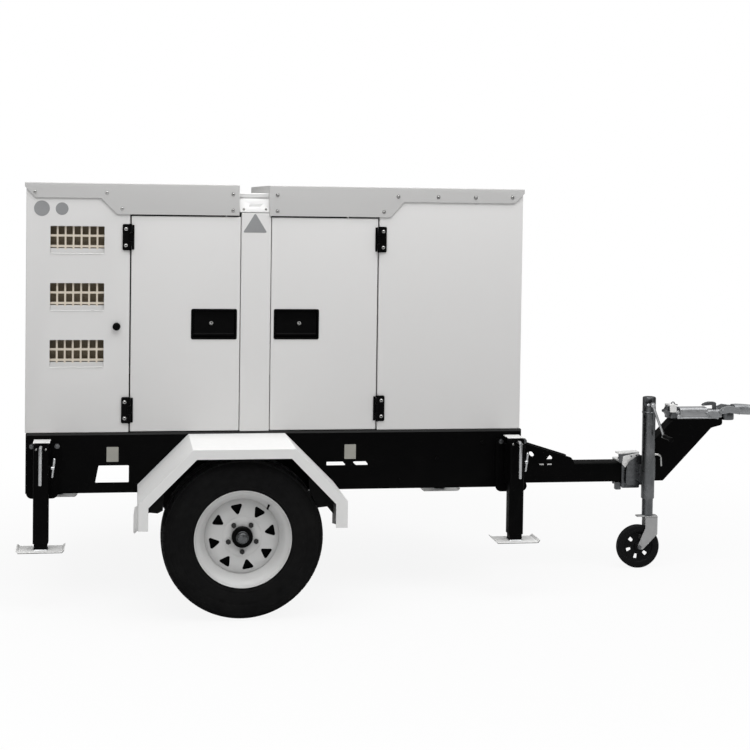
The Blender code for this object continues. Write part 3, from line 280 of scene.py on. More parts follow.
CREAM = powder_coat("canopy_powder_coat", (0.705, 0.700, 0.694), 0.70, 1.05)
# The canopy's paint made darker, on the roof skirts and the louvre sills; on the sills it is painted shade.
CANOPY_COAT_DARKER = powder_coat("canopy_powder_coat_darker", (0.530, 0.527, 0.522), 0.70, 1.05)
GRILLE = powder_coat("grille_powder_coat", (0.66, 0.59, 0.49), 0.70, 0.9)
WHITE = powder_coat("white_powder_coat", (0.76, 0.76, 0.755), 0.25, 0.75, (0.3, 0.42))
# Painted shade: the wheels' white paint made darker, as under the fender.
RIM_WHITE_SHADED = plain("wheel_white_painted_shade", (0.63, 0.63, 0.625), 0.4, grain=12, depth=0.00008)
# Near-black for the sheets beside the tyre inside the arch.
ARCH = plain("inner_arch_dark", (0.024, 0.024, 0.024), 0.6, grain=20, depth=0.00006)
# Near-white: bright plated parts, and painted highlights on the louvre lips and the leg caps.
BRIGHT = plain("bright_plate_and_painted_highlight", (0.88, 0.88, 0.87), 0.38, 0.12, grain=40, depth=0.00008)
BLACK = satin_black()
ZINC = zinc_plate()
TUBE = dark_zinc()
CAST = cast_metal()
RUBBER = tyre_rubber()
SOLID_RUBBER = plain("solid_rubber", (0.006, 0.006, 0.0065), 0.6, grain=40)
# Painted shade in the screws' hex sockets.
SOCKET = plain("screw_socket", (0.03, 0.03, 0.03), 0.6, grain=90, depth=0.00005)
# Grey for painted light: a highlight along the black base's top edge, and shade on the wheel nuts and the
# feet's front edges.
EDGE = plain("grey_painted_shade_and_highlight", (0.034, 0.034, 0.034), 0.4, grain=25, depth=0.00005)
PLASTIC = moulded_black()
SCREW = bright_screw()
FOAM = foam_liner()
VINYL = plain("neutral_vinyl", (0.30, 0.305, 0.31), 0.45, grain=8, depth=0.00005)
LABEL = plain("neutral_label", (0.34, 0.335, 0.30), 0.5, grain=14, depth=0.00005)
FORK = plain("castor_zinc", (0.40, 0.40, 0.40), 0.35, 0.3, grain=30, depth=0.00006)
SEAL = plain("door_seal", (0.006, 0.006, 0.006), 0.75, grain=120)
CHROME = plain("lock_chrome", (0.78, 0.78, 0.78), 0.14, 1.0, grain=90, depth=0.00005)
IRON = plain("engine_enamel", (0.055, 0.085, 0.075), 0.45, grain=30, depth=0.0006)
ALLOY = plain("cast_alloy", (0.36, 0.37, 0.38), 0.5, 0.85, grain=70, depth=0.0004)
ENCLOSURE = plain("cubicle_paint", (0.30, 0.31, 0.32), 0.4, grain=20)
COPPER = plain("terminal_brass", (0.62, 0.42, 0.20), 0.35, 1.0)
TANK = plain("tank_polymer", (0.02, 0.02, 0.021), 0.55, grain=50)
LAGGING = plain("exhaust_steel", (0.33, 0.29, 0.25), 0.5, 0.8, grain=18, depth=0.0005)


# ---------------------------------------------------------------- shapes
AXES = {"X": Vector((1, 0, 0)), "Y": Vector((0, 1, 0)), "Z": Vector((0, 0, 1))}
PLANES = {"X": lambda u, v, w: (w, u, v), "Y": lambda u, v, w: (u, w, v), "Z": lambda u, v, w: (u, v, w)}


class Solid:
    """Closed shapes gathered in one mesh; X is counted from the axle."""

    def __init__(self):
        self.bm = bmesh.new()

    def box(self, lo, hi, turn=None, pivot=None):
        lo, hi = at(*lo), at(*hi)
        made = bmesh.ops.create_cube(self.bm, size=1)["verts"]
        size = Matrix.Diagonal((*(abs(b - a) for a, b in zip(lo, hi)), 1))
        bmesh.ops.transform(self.bm, matrix=Matrix.Translation((lo + hi) / 2) @ size, verts=made)
        if turn:
            point = at(*pivot)
            spin = Matrix.Translation(point) @ turn @ Matrix.Translation(-point)
            bmesh.ops.transform(self.bm, matrix=spin, verts=made)
        return self

    def prism(self, outline, start, end, axis="Y", holes=()):
        """A flat outline, with holes, drawn out from start to end along axis."""
        place = PLANES[axis]
        edges = []
        for points in (outline, *holes):
            verts = [self.bm.verts.new(at(*place(u, v, start))) for u, v in points]
            edges += [self.bm.edges.new((a, b)) for a, b in zip(verts, verts[1:] + verts[:1])]
        if holes:
            made = bmesh.ops.triangle_fill(self.bm, edges=edges, use_beauty=True)["geom"]
            faces = [g for g in made if isinstance(g, bmesh.types.BMFace)]
        else:
            faces = [self.bm.faces.new(verts)]
        out = bmesh.ops.extrude_face_region(self.bm, geom=faces)["geom"]
        moved = [g for g in out if isinstance(g, bmesh.types.BMVert)]
        bmesh.ops.translate(self.bm, verts=moved, vec=AXES[axis] * (end - start))
        return self

    def rod(self, start, end, radius, sides=32, end_radius=None):
        a, b = at(*start), at(*end)
        turn = (b - a).to_track_quat("Z", "Y").to_matrix().to_4x4()
        bmesh.ops.create_cone(self.bm, cap_ends=True, segments=sides, radius1=radius,
                              radius2=radius if end_radius is None else end_radius,
                              depth=(b - a).length, matrix=Matrix.Translation((a + b) / 2) @ turn)
        return self

    def ball(self, centre, radius, squash=(1, 1, 1), steps=24):
        place = Matrix.Translation(at(*centre)) @ Matrix.Diagonal((*squash, 1))
        bmesh.ops.create_uvsphere(self.bm, u_segments=steps, v_segments=steps // 2, radius=radius,
                                  matrix=place)
        return self

    def turned(self, profile, centre, axis=(0, 0, 1), steps=64, closed=False):
        """Turn (radius, height) points about an axis through centre; heights run along it."""
        turn = Vector(axis).to_track_quat("Z", "Y").to_matrix().to_4x4()
        place = Matrix.Translation(at(*centre)) @ turn
        rings = []
        for radius, height in profile:
            if radius < 1e-6:
                rings.append([self.bm.verts.new(place @ Vector((0, 0, height)))])
                continue
            angles = (TAU * i / steps for i in range(steps))
            rings.append([self.bm.verts.new(place @ Vector((radius * math.cos(a), radius * math.sin(a),
                                                            height))) for a in angles])
        pairs = list(zip(rings, rings[1:])) + ([(rings[-1], rings[0])] if closed else [])
        for upper, lower in pairs:
            for i in range(steps):
                j = (i + 1) % steps
                corners = [upper[i % len(upper)], upper[j % len(upper)],
                           lower[j % len(lower)], lower[i % len(lower)]]
                corners = list(dict.fromkeys(corners))
                if len(corners) > 2:
                    self.bm.faces.new(corners)
        return self

    def sweep(self, points, radius, sides=16):
        """A round bar along points, with flat ends."""
        path = [at(*p) for p in points]
        rings = []
        side = None
        for i, point in enumerate(path):
            ahead = (path[min(i + 1, len(path) - 1)] - path[max(i - 1, 0)]).normalized()
            if side is None:
                side = ahead.orthogonal().normalized()
            side = (side - ahead * side.dot(ahead)).normalized()
            other = ahead.cross(side)
            rings.append([self.bm.verts.new(point + (side * math.cos(a) + other * math.sin(a)) * radius)
                          for a in (TAU * k / sides for k in range(sides))])
        for ring, following in zip(rings, rings[1:]):
            for k in range(sides):
                j = (k + 1) % sides
                self.bm.faces.new((ring[k], ring[j], following[j], following[k]))
        self.bm.faces.new(rings[0][::-1])
        self.bm.faces.new(rings[-1])
        return self

    def sheet(self, lo, hi, open_side, wall=SHEET, radius=FOLD_R):
        """A folded tray without its face on open_side, with rounded bends and a real thickness."""
        bm = bmesh.new()
        a, b = at(*lo), at(*hi)
        bmesh.ops.create_cube(bm, size=1)
        size = Matrix.Diagonal((*(abs(q - p) for p, q in zip(a, b)), 1))
        bmesh.ops.transform(bm, matrix=Matrix.Translation((a + b) / 2) @ size, verts=bm.verts[:])
        side = Vector(open_side)
        bmesh.ops.delete(bm, geom=[f for f in bm.faces if f.normal.dot(side) > 0.9], context="FACES")
        bends = [e for e in bm.edges if len(e.link_faces) == 2]
        bmesh.ops.bevel(bm, geom=bends, offset=radius, segments=4, profile=0.5, affect="EDGES")
        thicken(bm, wall)
        self.merge(bm)
        return self

    def merge(self, bm):
        mesh = bpy.data.meshes.new("merged")
        bm.to_mesh(mesh)
        bm.free()
        self.bm.from_mesh(mesh)
        bpy.data.meshes.remove(mesh)
        return self

    def cut(self, tool):
        """Take the closed shapes of another Solid out of this one."""
        body, blade = self.loose("body"), tool.loose("blade")
        mod = body.modifiers.new("Cut", "BOOLEAN")
        mod.operation = "DIFFERENCE"
        mod.solver = "EXACT"
        mod.object = blade
        bpy.context.view_layer.update()
        mesh = bpy.data.meshes.new_from_object(body.evaluated_get(bpy.context.evaluated_depsgraph_get()))
        self.bm = bmesh.new()
        self.bm.from_mesh(mesh)
        for obj in (body, blade):
            bpy.data.objects.remove(obj, do_unlink=True)
        return self

    def loose(self, name):
        bmesh.ops.recalc_face_normals(self.bm, faces=self.bm.faces[:])
        mesh = bpy.data.meshes.new(name)
        self.bm.to_mesh(mesh)
        self.bm.free()
        obj = bpy.data.objects.new(name, mesh)
        bpy.context.scene.collection.objects.link(obj)
        return obj

    def piece(self, name, material, body, nodes=(), slot=None, bevel=0.0, segments=2, smooth=35):
        """Finish the shape as a named piece that rides on a body and stands for CAD nodes."""
        obj = self.loose(name)
        obj.data.materials.append(material)
        obj.data.shade_smooth()
        obj.data.set_sharp_from_angle(angle=math.radians(smooth))
        if bevel:
            soften(obj, bevel, segments)
        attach(obj, body)
        if nodes:
            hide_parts(*nodes)
        return obj


def thicken(bm, wall):
    """Give an open surface a wall on its inner side."""
    bmesh.ops.recalc_face_normals(bm, faces=bm.faces[:])
    middle = sum((v.co for v in bm.verts), Vector()) / len(bm.verts)
    outward = sum(f.normal.dot(f.calc_center_median() - middle) * f.calc_area() for f in bm.faces)
    if outward < 0:
        bmesh.ops.reverse_faces(bm, faces=bm.faces[:])
    bmesh.ops.solidify(bm, geom=bm.faces[:], thickness=wall)


def soften(obj, width, segments=2, angle=32):
    mod = obj.modifiers.new("Bevel", "BEVEL")
    mod.width = width
    mod.segments = segments
    mod.limit_method = "ANGLE"
    mod.angle_limit = math.radians(angle)
    mod.harden_normals = True
    return obj


def keep(node, material, bevel=0.002, segments=3, smooth=35):
    """Show a CAD node as it is, with its flat faces whole again and its edges softened."""
    obj = NODES[node]
    obj.data.materials.clear()
    obj.data.materials.append(material)
    weld = obj.modifiers.new("Weld", "WELD")
    weld.merge_threshold = 0.00005
    whole = obj.modifiers.new("Planar", "DECIMATE")
    whole.decimate_type = "DISSOLVE"
    whole.angle_limit = math.radians(0.5)
    obj.data.shade_smooth()
    if bevel:
        soften(obj, bevel, segments)
    else:
        edges = obj.modifiers.new("Edges", "EDGE_SPLIT")
        edges.split_angle = math.radians(smooth)
    return obj


def rounded(points, radius, steps=5):
    """An outline with its corners rounded; radius is one value, or one for each corner."""
    result = []
    for i, corner in enumerate(points):
        r = radius[i] if isinstance(radius, (tuple, list)) else radius
        corner = Vector(corner)
        before = Vector(points[i - 1]) - corner
        after = Vector(points[(i + 1) % len(points)]) - corner
        half = before.angle(after) / 2
        if r <= 0 or half > 1.56:
            result.append(tuple(corner))
            continue
        reach = min(r / math.tan(half), 0.49 * min(before.length, after.length))
        r = reach * math.tan(half)
        centre = corner + (before.normalized() + after.normalized()).normalized() * (r / math.sin(half))
        arm = corner + before.normalized() * reach - centre
        far = corner + after.normalized() * reach - centre
        sign = 1 if arm.x * far.y - arm.y * far.x > 0 else -1
        sweep = (math.pi - 2 * half) * sign
        for k in range(steps + 1):
            a = sweep * k / steps
            result.append((centre.x + arm.x * math.cos(a) - arm.y * math.sin(a),
                           centre.y + arm.x * math.sin(a) + arm.y * math.cos(a)))
    return result


def rect(x0, z0, x1, z1, radius=0.0, steps=5):
    x0, x1 = sorted((x0, x1))
    z0, z1 = sorted((z0, z1))
    points = [(x0, z0), (x1, z0), (x1, z1), (x0, z1)]
    return rounded(points, radius, steps) if radius else points


def moved(points, x, y):
    return [(px + x, py + y) for px, py in points]


def circle(x, z, radius, steps=32):
    return [(x + radius * math.cos(TAU * i / steps), z + radius * math.sin(TAU * i / steps))
            for i in range(steps)]


def arc(cx, cz, radius, start, end, steps=8):
    """Points on an arc, its angles in degrees."""
    angles = [math.radians(start + (end - start) * i / steps) for i in range(steps + 1)]
    return [(cx + radius * math.cos(a), cz + radius * math.sin(a)) for a in angles]


SOCKETS = []                               # screw sockets still to get their painted shade


def paint_socket_shade(name, body):
    """Painted shade: dark hexagons in the sockets of the screws made since the last call."""
    dark = Solid()
    for (x, y, z), out, radius in SOCKETS:
        ax, ay, az = (v * 0.0008 for v in out)
        bx, by, bz = (v * 0.0020 for v in out)
        dark.rod((x + ax, y + ay, z + az), (x + bx, y + by, z + bz), radius, 6)
    SOCKETS.clear()
    dark.piece(name, SOCKET, body, slot="black_plastic")


def button_screw(solid, x, y, z, out, radius=0.0052, washer=0.0078):
    """A domed socket screw on its washer, its axis along out."""
    out = Vector(out)
    solid.turned([(0, 0.0010), (radius * 0.50, 0.0010), (radius * 0.56, 0.0044), (radius * 0.8, 0.0038),
                  (radius, 0.0024), (radius, 0.0012), (washer, 0.0012), (washer, -0.0006),
                  (0, -0.0006)], (x, y, z), out, 24)
    SOCKETS.append(((x, y, z), tuple(out), radius * 0.48))


def hex_bolt(solid, x, y, z, out, radius=0.009, height=0.007):
    """A hexagon head on a washer."""
    out = Vector(out).normalized()
    base = Vector((x, y, z))
    solid.rod(base - out * 0.001, base + out * 0.0018, radius * 1.25, 28)
    solid.rod(base + out * 0.0015, base + out * height, radius, 6)
    solid.rod(base + out * (height - 0.0002), base + out * (height + 0.0008), radius * 0.78, 24,
              radius * 0.66)


# ---------------------------------------------------------------- roof halves
def roof_outline(end):
    """The skirt's outline on the side, from the inner top corner round to the outer one."""
    lo, hi = span("roof_" + end)
    outer, inner = (lo.x, hi.x) if end == "rear" else (hi.x, lo.x)
    steps = (-0.572, -0.506) if end == "rear" else (0.702, 0.643)
    way = 1 if outer < inner else -1
    drop = 0.018
    return [(inner, ROOF_Z), (inner, ROOF_Z - SKIRT_TALL), (steps[1], ROOF_Z - SKIRT_TALL),
            (steps[0], ROOF_Z - SKIRT_SHORT), (outer + way * (SKIRT_SHORT - drop), ROOF_Z - SKIRT_SHORT),
            (outer, ROOF_Z - drop), (outer, ROOF_Z)]


def roof(end):
    """A roof half: a folded hood with side skirts, cut hollow and open below."""
    outline = roof_outline(end)
    half = FACE_Y + SKIRT_OUT
    lo, hi = span("roof_" + end)
    hood = Solid().prism(outline, -half, half)
    fold(hood.bm, lambda edge: all(f.normal.z > -0.1 for f in edge.link_faces))
    low = ROOF_Z - SKIRT_TALL - 0.05
    hollow = Solid().box((lo.x + SHEET, -half + SHEET, low), (hi.x - SHEET, half - SHEET, ROOF_Z - SHEET))
    fold(hollow.bm, lambda edge: all(f.normal.z > -0.1 for f in edge.link_faces), FOLD_R - SHEET / 2)
    hood.cut(hollow)
    hood.piece("roof_shell_" + end, CANOPY_COAT_DARKER, "trailer", ["roof_" + end], "canopy_paint")


def fold(bm, wanted, radius=FOLD_R):
    """Round the edges where wanted(edge) holds, as a sheet's bends."""
    bmesh.ops.recalc_face_normals(bm, faces=bm.faces[:])
    bends = [e for e in bm.edges if len(e.link_faces) == 2 and e.calc_face_angle() > 0.5 and wanted(e)]
    bmesh.ops.bevel(bm, geom=bends, offset=radius, segments=4, profile=0.5, affect="EDGES")


SCREW_IN = 0.0395                          # top row, below the roof
SCREW_LOW = 0.107                          # second row, on the tall skirt
SCREWS = {"rear": [(-0.840, SCREW_IN), (-0.548, SCREW_IN), (-0.485, 0.1045), (-0.026, SCREW_IN),
                   (-0.026, SCREW_LOW)],
          "front": [(0.160, SCREW_IN), (0.160, SCREW_LOW), (0.615, 0.1055), (0.676, SCREW_IN),
                    (0.850, SCREW_IN), (1.013, SCREW_IN), (1.175, SCREW_IN - 0.003)]}


def roof_screws(end):
    solid = Solid()
    for sign in (-1, 1):
        for x, drop in SCREWS[end]:
            button_screw(solid, x, sign * (FACE_Y + SKIRT_OUT), ROOF_Z - drop, (0, sign, 0))
    solid.piece("roof_screws_" + end, SCREW, "trailer", slot="zinc")
    paint_socket_shade("roof_screw_sockets_" + end, "trailer")


# ---------------------------------------------------------------- side panels and louvres
VENT_COLS, VENT_PITCH_X, VENT_PITCH_Z = 7, 0.0325, 0.0437
VENT_HOLE_W, VENT_HOLE_H = 0.0250, 0.0345
VENT_X = -0.667
VENT_ZS = (1.0435, 1.279, 1.5145)
VENT_HALF_W = (VENT_COLS - 1) * VENT_PITCH_X / 2 + VENT_HOLE_W / 2
VENT_HALF_H = VENT_PITCH_Z / 2 + VENT_HOLE_H / 2
VENT_DEEP = 0.0745                         # a window's middle to its lip
GRILLE_IN = 0.010                          # grille behind the panel's face


def vent_window(z, grow=0.0):
    return rect(VENT_X - VENT_HALF_W - grow, z - VENT_DEEP - grow,
                VENT_X + VENT_HALF_W + grow, z + VENT_HALF_H + grow, 0.003)


def louvre(side, sign, index, z):
    """One inlet: a punched grille set back behind the window, and a sloping sill with a lip; the sill's
    darker paint is painted shade, the lip's near-white a painted highlight.
    """
    y = sign * (FACE_Y - GRILLE_IN)
    holes = []
    left = VENT_X - (VENT_COLS - 1) * VENT_PITCH_X / 2
    for row in range(3):
        cz = z + VENT_PITCH_Z / 2 - row * VENT_PITCH_Z
        for col in range(VENT_COLS):
            cx = left + col * VENT_PITCH_X
            holes.append(rect(cx - VENT_HOLE_W / 2, cz - VENT_HOLE_H / 2, cx + VENT_HOLE_W / 2,
                              cz + VENT_HOLE_H / 2, 0.0015, 2))
    frame_w = 0.008
    low = z - VENT_PITCH_Z * 1.5 - VENT_HOLE_H / 2 - 0.004
    outer = rect(VENT_X - VENT_HALF_W - frame_w, low, VENT_X + VENT_HALF_W + frame_w,
                 z + VENT_HALF_H + frame_w)
    grille = Solid().prism(outer, y, y + sign * 0.0015, "Y", holes)
    grille.piece(f"louvre_grille_{side}_{index}", GRILLE, "trailer", slot="canopy_paint", bevel=0.0003)
    sill_z = z - VENT_DEEP
    slope = [(sign * (FACE_Y - 0.0012), sill_z), (sign * (FACE_Y - 0.0012), sill_z + 0.0018),
             (y - sign * 0.0004, sill_z + 0.0225), (y - sign * 0.0004, sill_z + 0.0205)]
    sill = Solid().prism(slope, VENT_X - VENT_HALF_W, VENT_X + VENT_HALF_W, "X")
    # Painted shade: the sill is canopy sheet, given the darker copy of the canopy's paint.
    sill.piece(f"louvre_sill_{side}_{index}", CANOPY_COAT_DARKER, "trailer", slot="canopy_paint", bevel=0.0004)
    # Painted highlight: the lip is canopy sheet, given a near-white colour for its bright edge.
    lip_y = sign * (FACE_Y + 0.0004)
    lip = Solid().sweep([(VENT_X - VENT_HALF_W + 0.001, lip_y, sill_z + 0.0006),
                         (VENT_X + VENT_HALF_W - 0.001, lip_y, sill_z + 0.0006)], 0.0016, 12)
    lip.piece(f"louvre_lip_highlight_{side}_{index}", BRIGHT, "trailer", slot="canopy_paint")


KNOB_X, KNOB_Z, KNOB_HOLE_R = -0.505, 1.139, 0.0085


def side_panel(end, side, sign):
    lo, hi = span(f"panel_{end}_{side}")
    panel = Solid().sheet(lo, hi, (0, -sign, 0))
    tool = Solid()
    if end == "rear":
        for z in VENT_ZS:
            tool.prism(vent_window(z), sign * (FACE_Y - 0.02), sign * (FACE_Y + 0.02))
        if sign < 0:
            tool.rod((KNOB_X, -FACE_Y - 0.02, KNOB_Z), (KNOB_X, -FACE_Y + 0.02, KNOB_Z), KNOB_HOLE_R)
        panel.cut(tool)
        for index, z in enumerate(VENT_ZS):
            louvre(side, sign, index, z)
        y0, y1 = face_band(sign, -0.034, -0.060)
        liner = Solid().box((lo.x + 0.012, y0, lo.z + 0.02), (hi.x - 0.030, y1, hi.z - 0.02))
        liner.piece("inlet_baffle_" + side, FOAM, "trailer", bevel=0.006, segments=3)
    panel.piece(f"side_sheet_{end}_{side}", CREAM, "trailer", [f"panel_{end}_{side}"], "canopy_paint",
                bevel=0.0004, segments=1)


def canopy_foot():
    """The dark seal between the foot of each side and the base."""
    for side, sign in SIDES:
        y0, y1 = face_band(sign, -0.020, -0.002)
        strip = Solid().box((CANOPY_X0 + 0.03, y0, DECK_Z - 0.0002), (CANOPY_X1 - 0.03, y1, DECK_Z + 0.003))
        strip.piece("deck_seal_" + side, SEAL, "trailer", bevel=0.0008)


# ---------------------------------------------------------------- centre frame
POST_X0, POST_X1, POST_TOP = 0.010, 0.135, 1.6165
BEAM_SCREW_XS, BEAM_SCREW_Z = (0.0193, 0.1120), 1.6315


def centre_frame():
    """Posts between the doors, and the pressed beam between the roof halves."""
    lo, hi = span("centre_frame")
    portal = Solid()
    for sign in (-1, 1):
        y0, y1 = face_band(sign, 0.0, -0.030)
        portal.sheet((POST_X0, y0, lo.z), (POST_X1, y1, POST_TOP), (0, -sign, 0), radius=0.003)
    x0, x1 = lo.x + 0.0005, hi.x - 0.0005
    y, low, top = FACE_Y, POST_TOP + 0.0025, hi.z
    section = [(-y, low), (-y, low + 0.006), (-y + 0.028, top - 0.024), (-y + 0.035, top - 0.023),
               (-y + 0.035, top - 0.018), (-y + 0.030, top - 0.017), (-y + 0.030, top - 0.003),
               (-y + 0.034, top)]
    ring = section + [(-py, pz) for py, pz in reversed(section)]
    ring += [(y - 0.012, low), (y - 0.045, top - 0.045), (-y + 0.045, top - 0.045), (-y + 0.012, low)]
    beam = Solid().prism(ring, x0, x1, "X")
    pocket = Solid()
    for sign in (-1, 1):
        shape = rounded([(0.038, 1.642), (0.090, 1.642), (0.108, 1.663), (0.054, 1.663)], 0.004)
        pocket.prism(shape, sign * (y - 0.018), sign * (y + 0.02))
    beam.cut(pocket)
    # Painted highlight: the beam is canopy sheet, given the lighter white paint.
    beam.piece("roof_beam", WHITE, "trailer", slot="canopy_paint", bevel=0.0012, segments=3)
    portal.piece("door_posts", CREAM, "trailer", ["centre_frame"], "canopy_paint", bevel=0.0004, segments=1)
    screws = Solid()
    for sign in (-1, 1):
        for x in BEAM_SCREW_XS:
            button_screw(screws, x, sign * (FACE_Y - 0.0035), BEAM_SCREW_Z, (0, sign * 0.93, 0.37), 0.0048,
                         0.0066)
    screws.piece("beam_screws", SCREW, "trailer", slot="zinc")
    paint_socket_shade("beam_screw_sockets", "trailer")


# ---------------------------------------------------------------- doors, hinges, latches
DOOR_W, DOOR_DEPTH = 0.456, 0.026
LATCH_W, LATCH_H, LATCH_IN = 0.192, 0.128, 0.012
LATCH_Z = 1.149
HINGE_ZS, HINGE_H = (0.790, 1.510), 0.109
HINGE_OUT, KNUCKLE_R = 0.0075, 0.0055


def door_edges(end):
    """A door's hinge edge, the direction to its free edge, and its hinge axis."""
    lo, hi = span(f"door_{end}_near")
    free = hi.x if end == "rear" else lo.x
    way = 1 if end == "rear" else -1
    edge = free - way * DOOR_W
    return edge, way, edge - way * DOOR_GAP / 2


def latch_middle(end):
    edge, way, _ = door_edges(end)
    return edge + way * (DOOR_W - LATCH_IN - LATCH_W / 2)


def door(end, side, sign):
    name, body = f"{end}_{side}", f"door_{end}_{side}"
    edge, way, _ = door_edges(end)
    x0, x1 = sorted((edge, edge + way * DOOR_W))
    lo, hi = span(f"door_{name}")
    z0, z1 = lo.z, hi.z
    face = sign * FACE_Y
    y0, y1 = face_band(sign, 0.0, -DOOR_DEPTH)
    trim = 0.0026
    leaf = Solid().sheet((x0 + (trim if way > 0 else 0), y0, z0), (x1 - (0 if way > 0 else trim), y1,
                         z1 - trim * 0.7), (0, -sign, 0), radius=0.0035)
    mid = latch_middle(end)
    window = rect(mid - LATCH_W / 2 + 0.005, LATCH_Z - LATCH_H / 2 + 0.005,
                  mid + LATCH_W / 2 - 0.005, LATCH_Z + LATCH_H / 2 - 0.005, 0.005)
    leaf.cut(Solid().prism(window, face - sign * 0.012, face + sign * 0.012))
    leaf.piece("door_leaf_" + name, CREAM, body, [f"door_{name}"], "canopy_paint", bevel=0.0004,
               segments=1)
    door_liner(name, body, (x0, x1), (z0, z1), mid, sign)
    latch(end, side, sign)
    hinge(end, side, sign)


def door_liner(name, body, xs, zs, mid, sign):
    """Foam pads above and below the latch, and a rubber seal near the door's edges."""
    y0, y1 = face_band(sign, -0.0030, -0.0215)
    pads = Solid()
    for low, high in ((zs[0] + 0.022, LATCH_Z - 0.085), (LATCH_Z + 0.085, zs[1] - 0.022)):
        pads.box((xs[0] + 0.022, y0, low), (xs[1] - 0.022, y1, high))
    pads.piece("door_foam_" + name, FOAM, body, bevel=0.005, segments=3)
    seal = Solid()
    y0, y1 = sorted((sign * (FACE_Y - DOOR_DEPTH - 0.0035), sign * (FACE_Y - DOOR_DEPTH + 0.004)))
    outer = rect(xs[0] + 0.004, zs[0] + 0.004, xs[1] - 0.004, zs[1] - 0.004, 0.012)
    inner = rect(xs[0] + 0.013, zs[0] + 0.013, xs[1] - 0.013, zs[1] - 0.013, 0.008)
    seal.prism(outer, y0, y1, "Y", [inner])
    seal.piece("door_seal_" + name, SEAL, body, bevel=0.002)
    cam = Solid().box((mid - 0.055, y0, LATCH_Z - 0.040), (mid + 0.055, y1, LATCH_Z + 0.040))
    cam.piece("latch_case_" + name, ZINC, body, slot="zinc", bevel=0.002)


def latch(end, side, sign):
    """A moulded pan let into the door, and the paddle with its key lock."""
    name = f"{end}_{side}"
    mid = latch_middle(end)
    half_w, half_h = LATCH_W / 2, LATCH_H / 2
    out = sign * (FACE_Y + 0.0022)
    flange = rect(mid - half_w, LATCH_Z - half_h, mid + half_w, LATCH_Z + half_h, 0.007)
    mouth = rect(mid - half_w + 0.0075, LATCH_Z - half_h + 0.0075, mid + half_w - 0.0075,
                 LATCH_Z + half_h - 0.0075, 0.005)
    pan = Solid().prism(flange, sign * (FACE_Y + 0.0002), out, "Y", [mouth])
    y0, y1 = face_band(sign, -0.019, 0.0012)
    pan.sheet((mid - half_w + 0.0062, y0, LATCH_Z - half_h + 0.0062),
              (mid + half_w - 0.0062, y1, LATCH_Z + half_h - 0.0062), (0, sign, 0), 0.0015, 0.004)
    pan.piece("latch_pan_" + name, PLASTIC, f"door_{name}", slot="black_plastic", bevel=0.0009, segments=3)

    lo, hi = span("latch_" + name)
    top, low = hi.z, lo.z
    face = sign * (FACE_Y - 0.002)
    back = sign * (FACE_Y - 0.0095)
    section = [(face, top - 0.004), (face - sign * 0.002, top), (back, top), (back, low + 0.012),
               (back + sign * 0.002, low), (face, low + 0.001), (face, low + 0.007),
               (face - sign * 0.0028, low + 0.010), (face - sign * 0.0024, low + 0.030),
               (face - sign * 0.0008, low + 0.052)]
    paddle = Solid().prism(section, mid - half_w + 0.0105, mid + half_w - 0.0105, "X")
    paddle.piece("latch_paddle_" + name, PLASTIC, f"latch_{name}", ["latch_" + name], "black_plastic",
                 bevel=0.0012, segments=3)
    lock_z = LATCH_Z + 0.004
    mid += -0.012 if end == "rear" else 0.012
    barrel = Solid().turned([(0, 0.0016), (0.0052, 0.0016), (0.0058, 0.0012), (0.0062, 0.0034),
                             (0.0078, 0.0038), (0.0090, 0.0020), (0.0094, -0.003), (0, -0.003)],
                            (mid, face - sign * 0.0012, lock_z), (0, sign, 0), 48)
    slot = Solid().box((mid - 0.0010, face - sign * 0.0012 - 0.006, lock_z - 0.0046),
                       (mid + 0.0010, face - sign * 0.0012 + 0.006, lock_z + 0.0046))
    barrel.cut(slot)
    barrel.piece("latch_lock_" + name, SCREW, f"latch_{name}", slot="zinc")


def knuckles(z):
    third = HINGE_H / 3
    return [(z - HINGE_H / 2 + i * third + GAP, z - HINGE_H / 2 + (i + 1) * third - GAP)
            for i in range(3)]


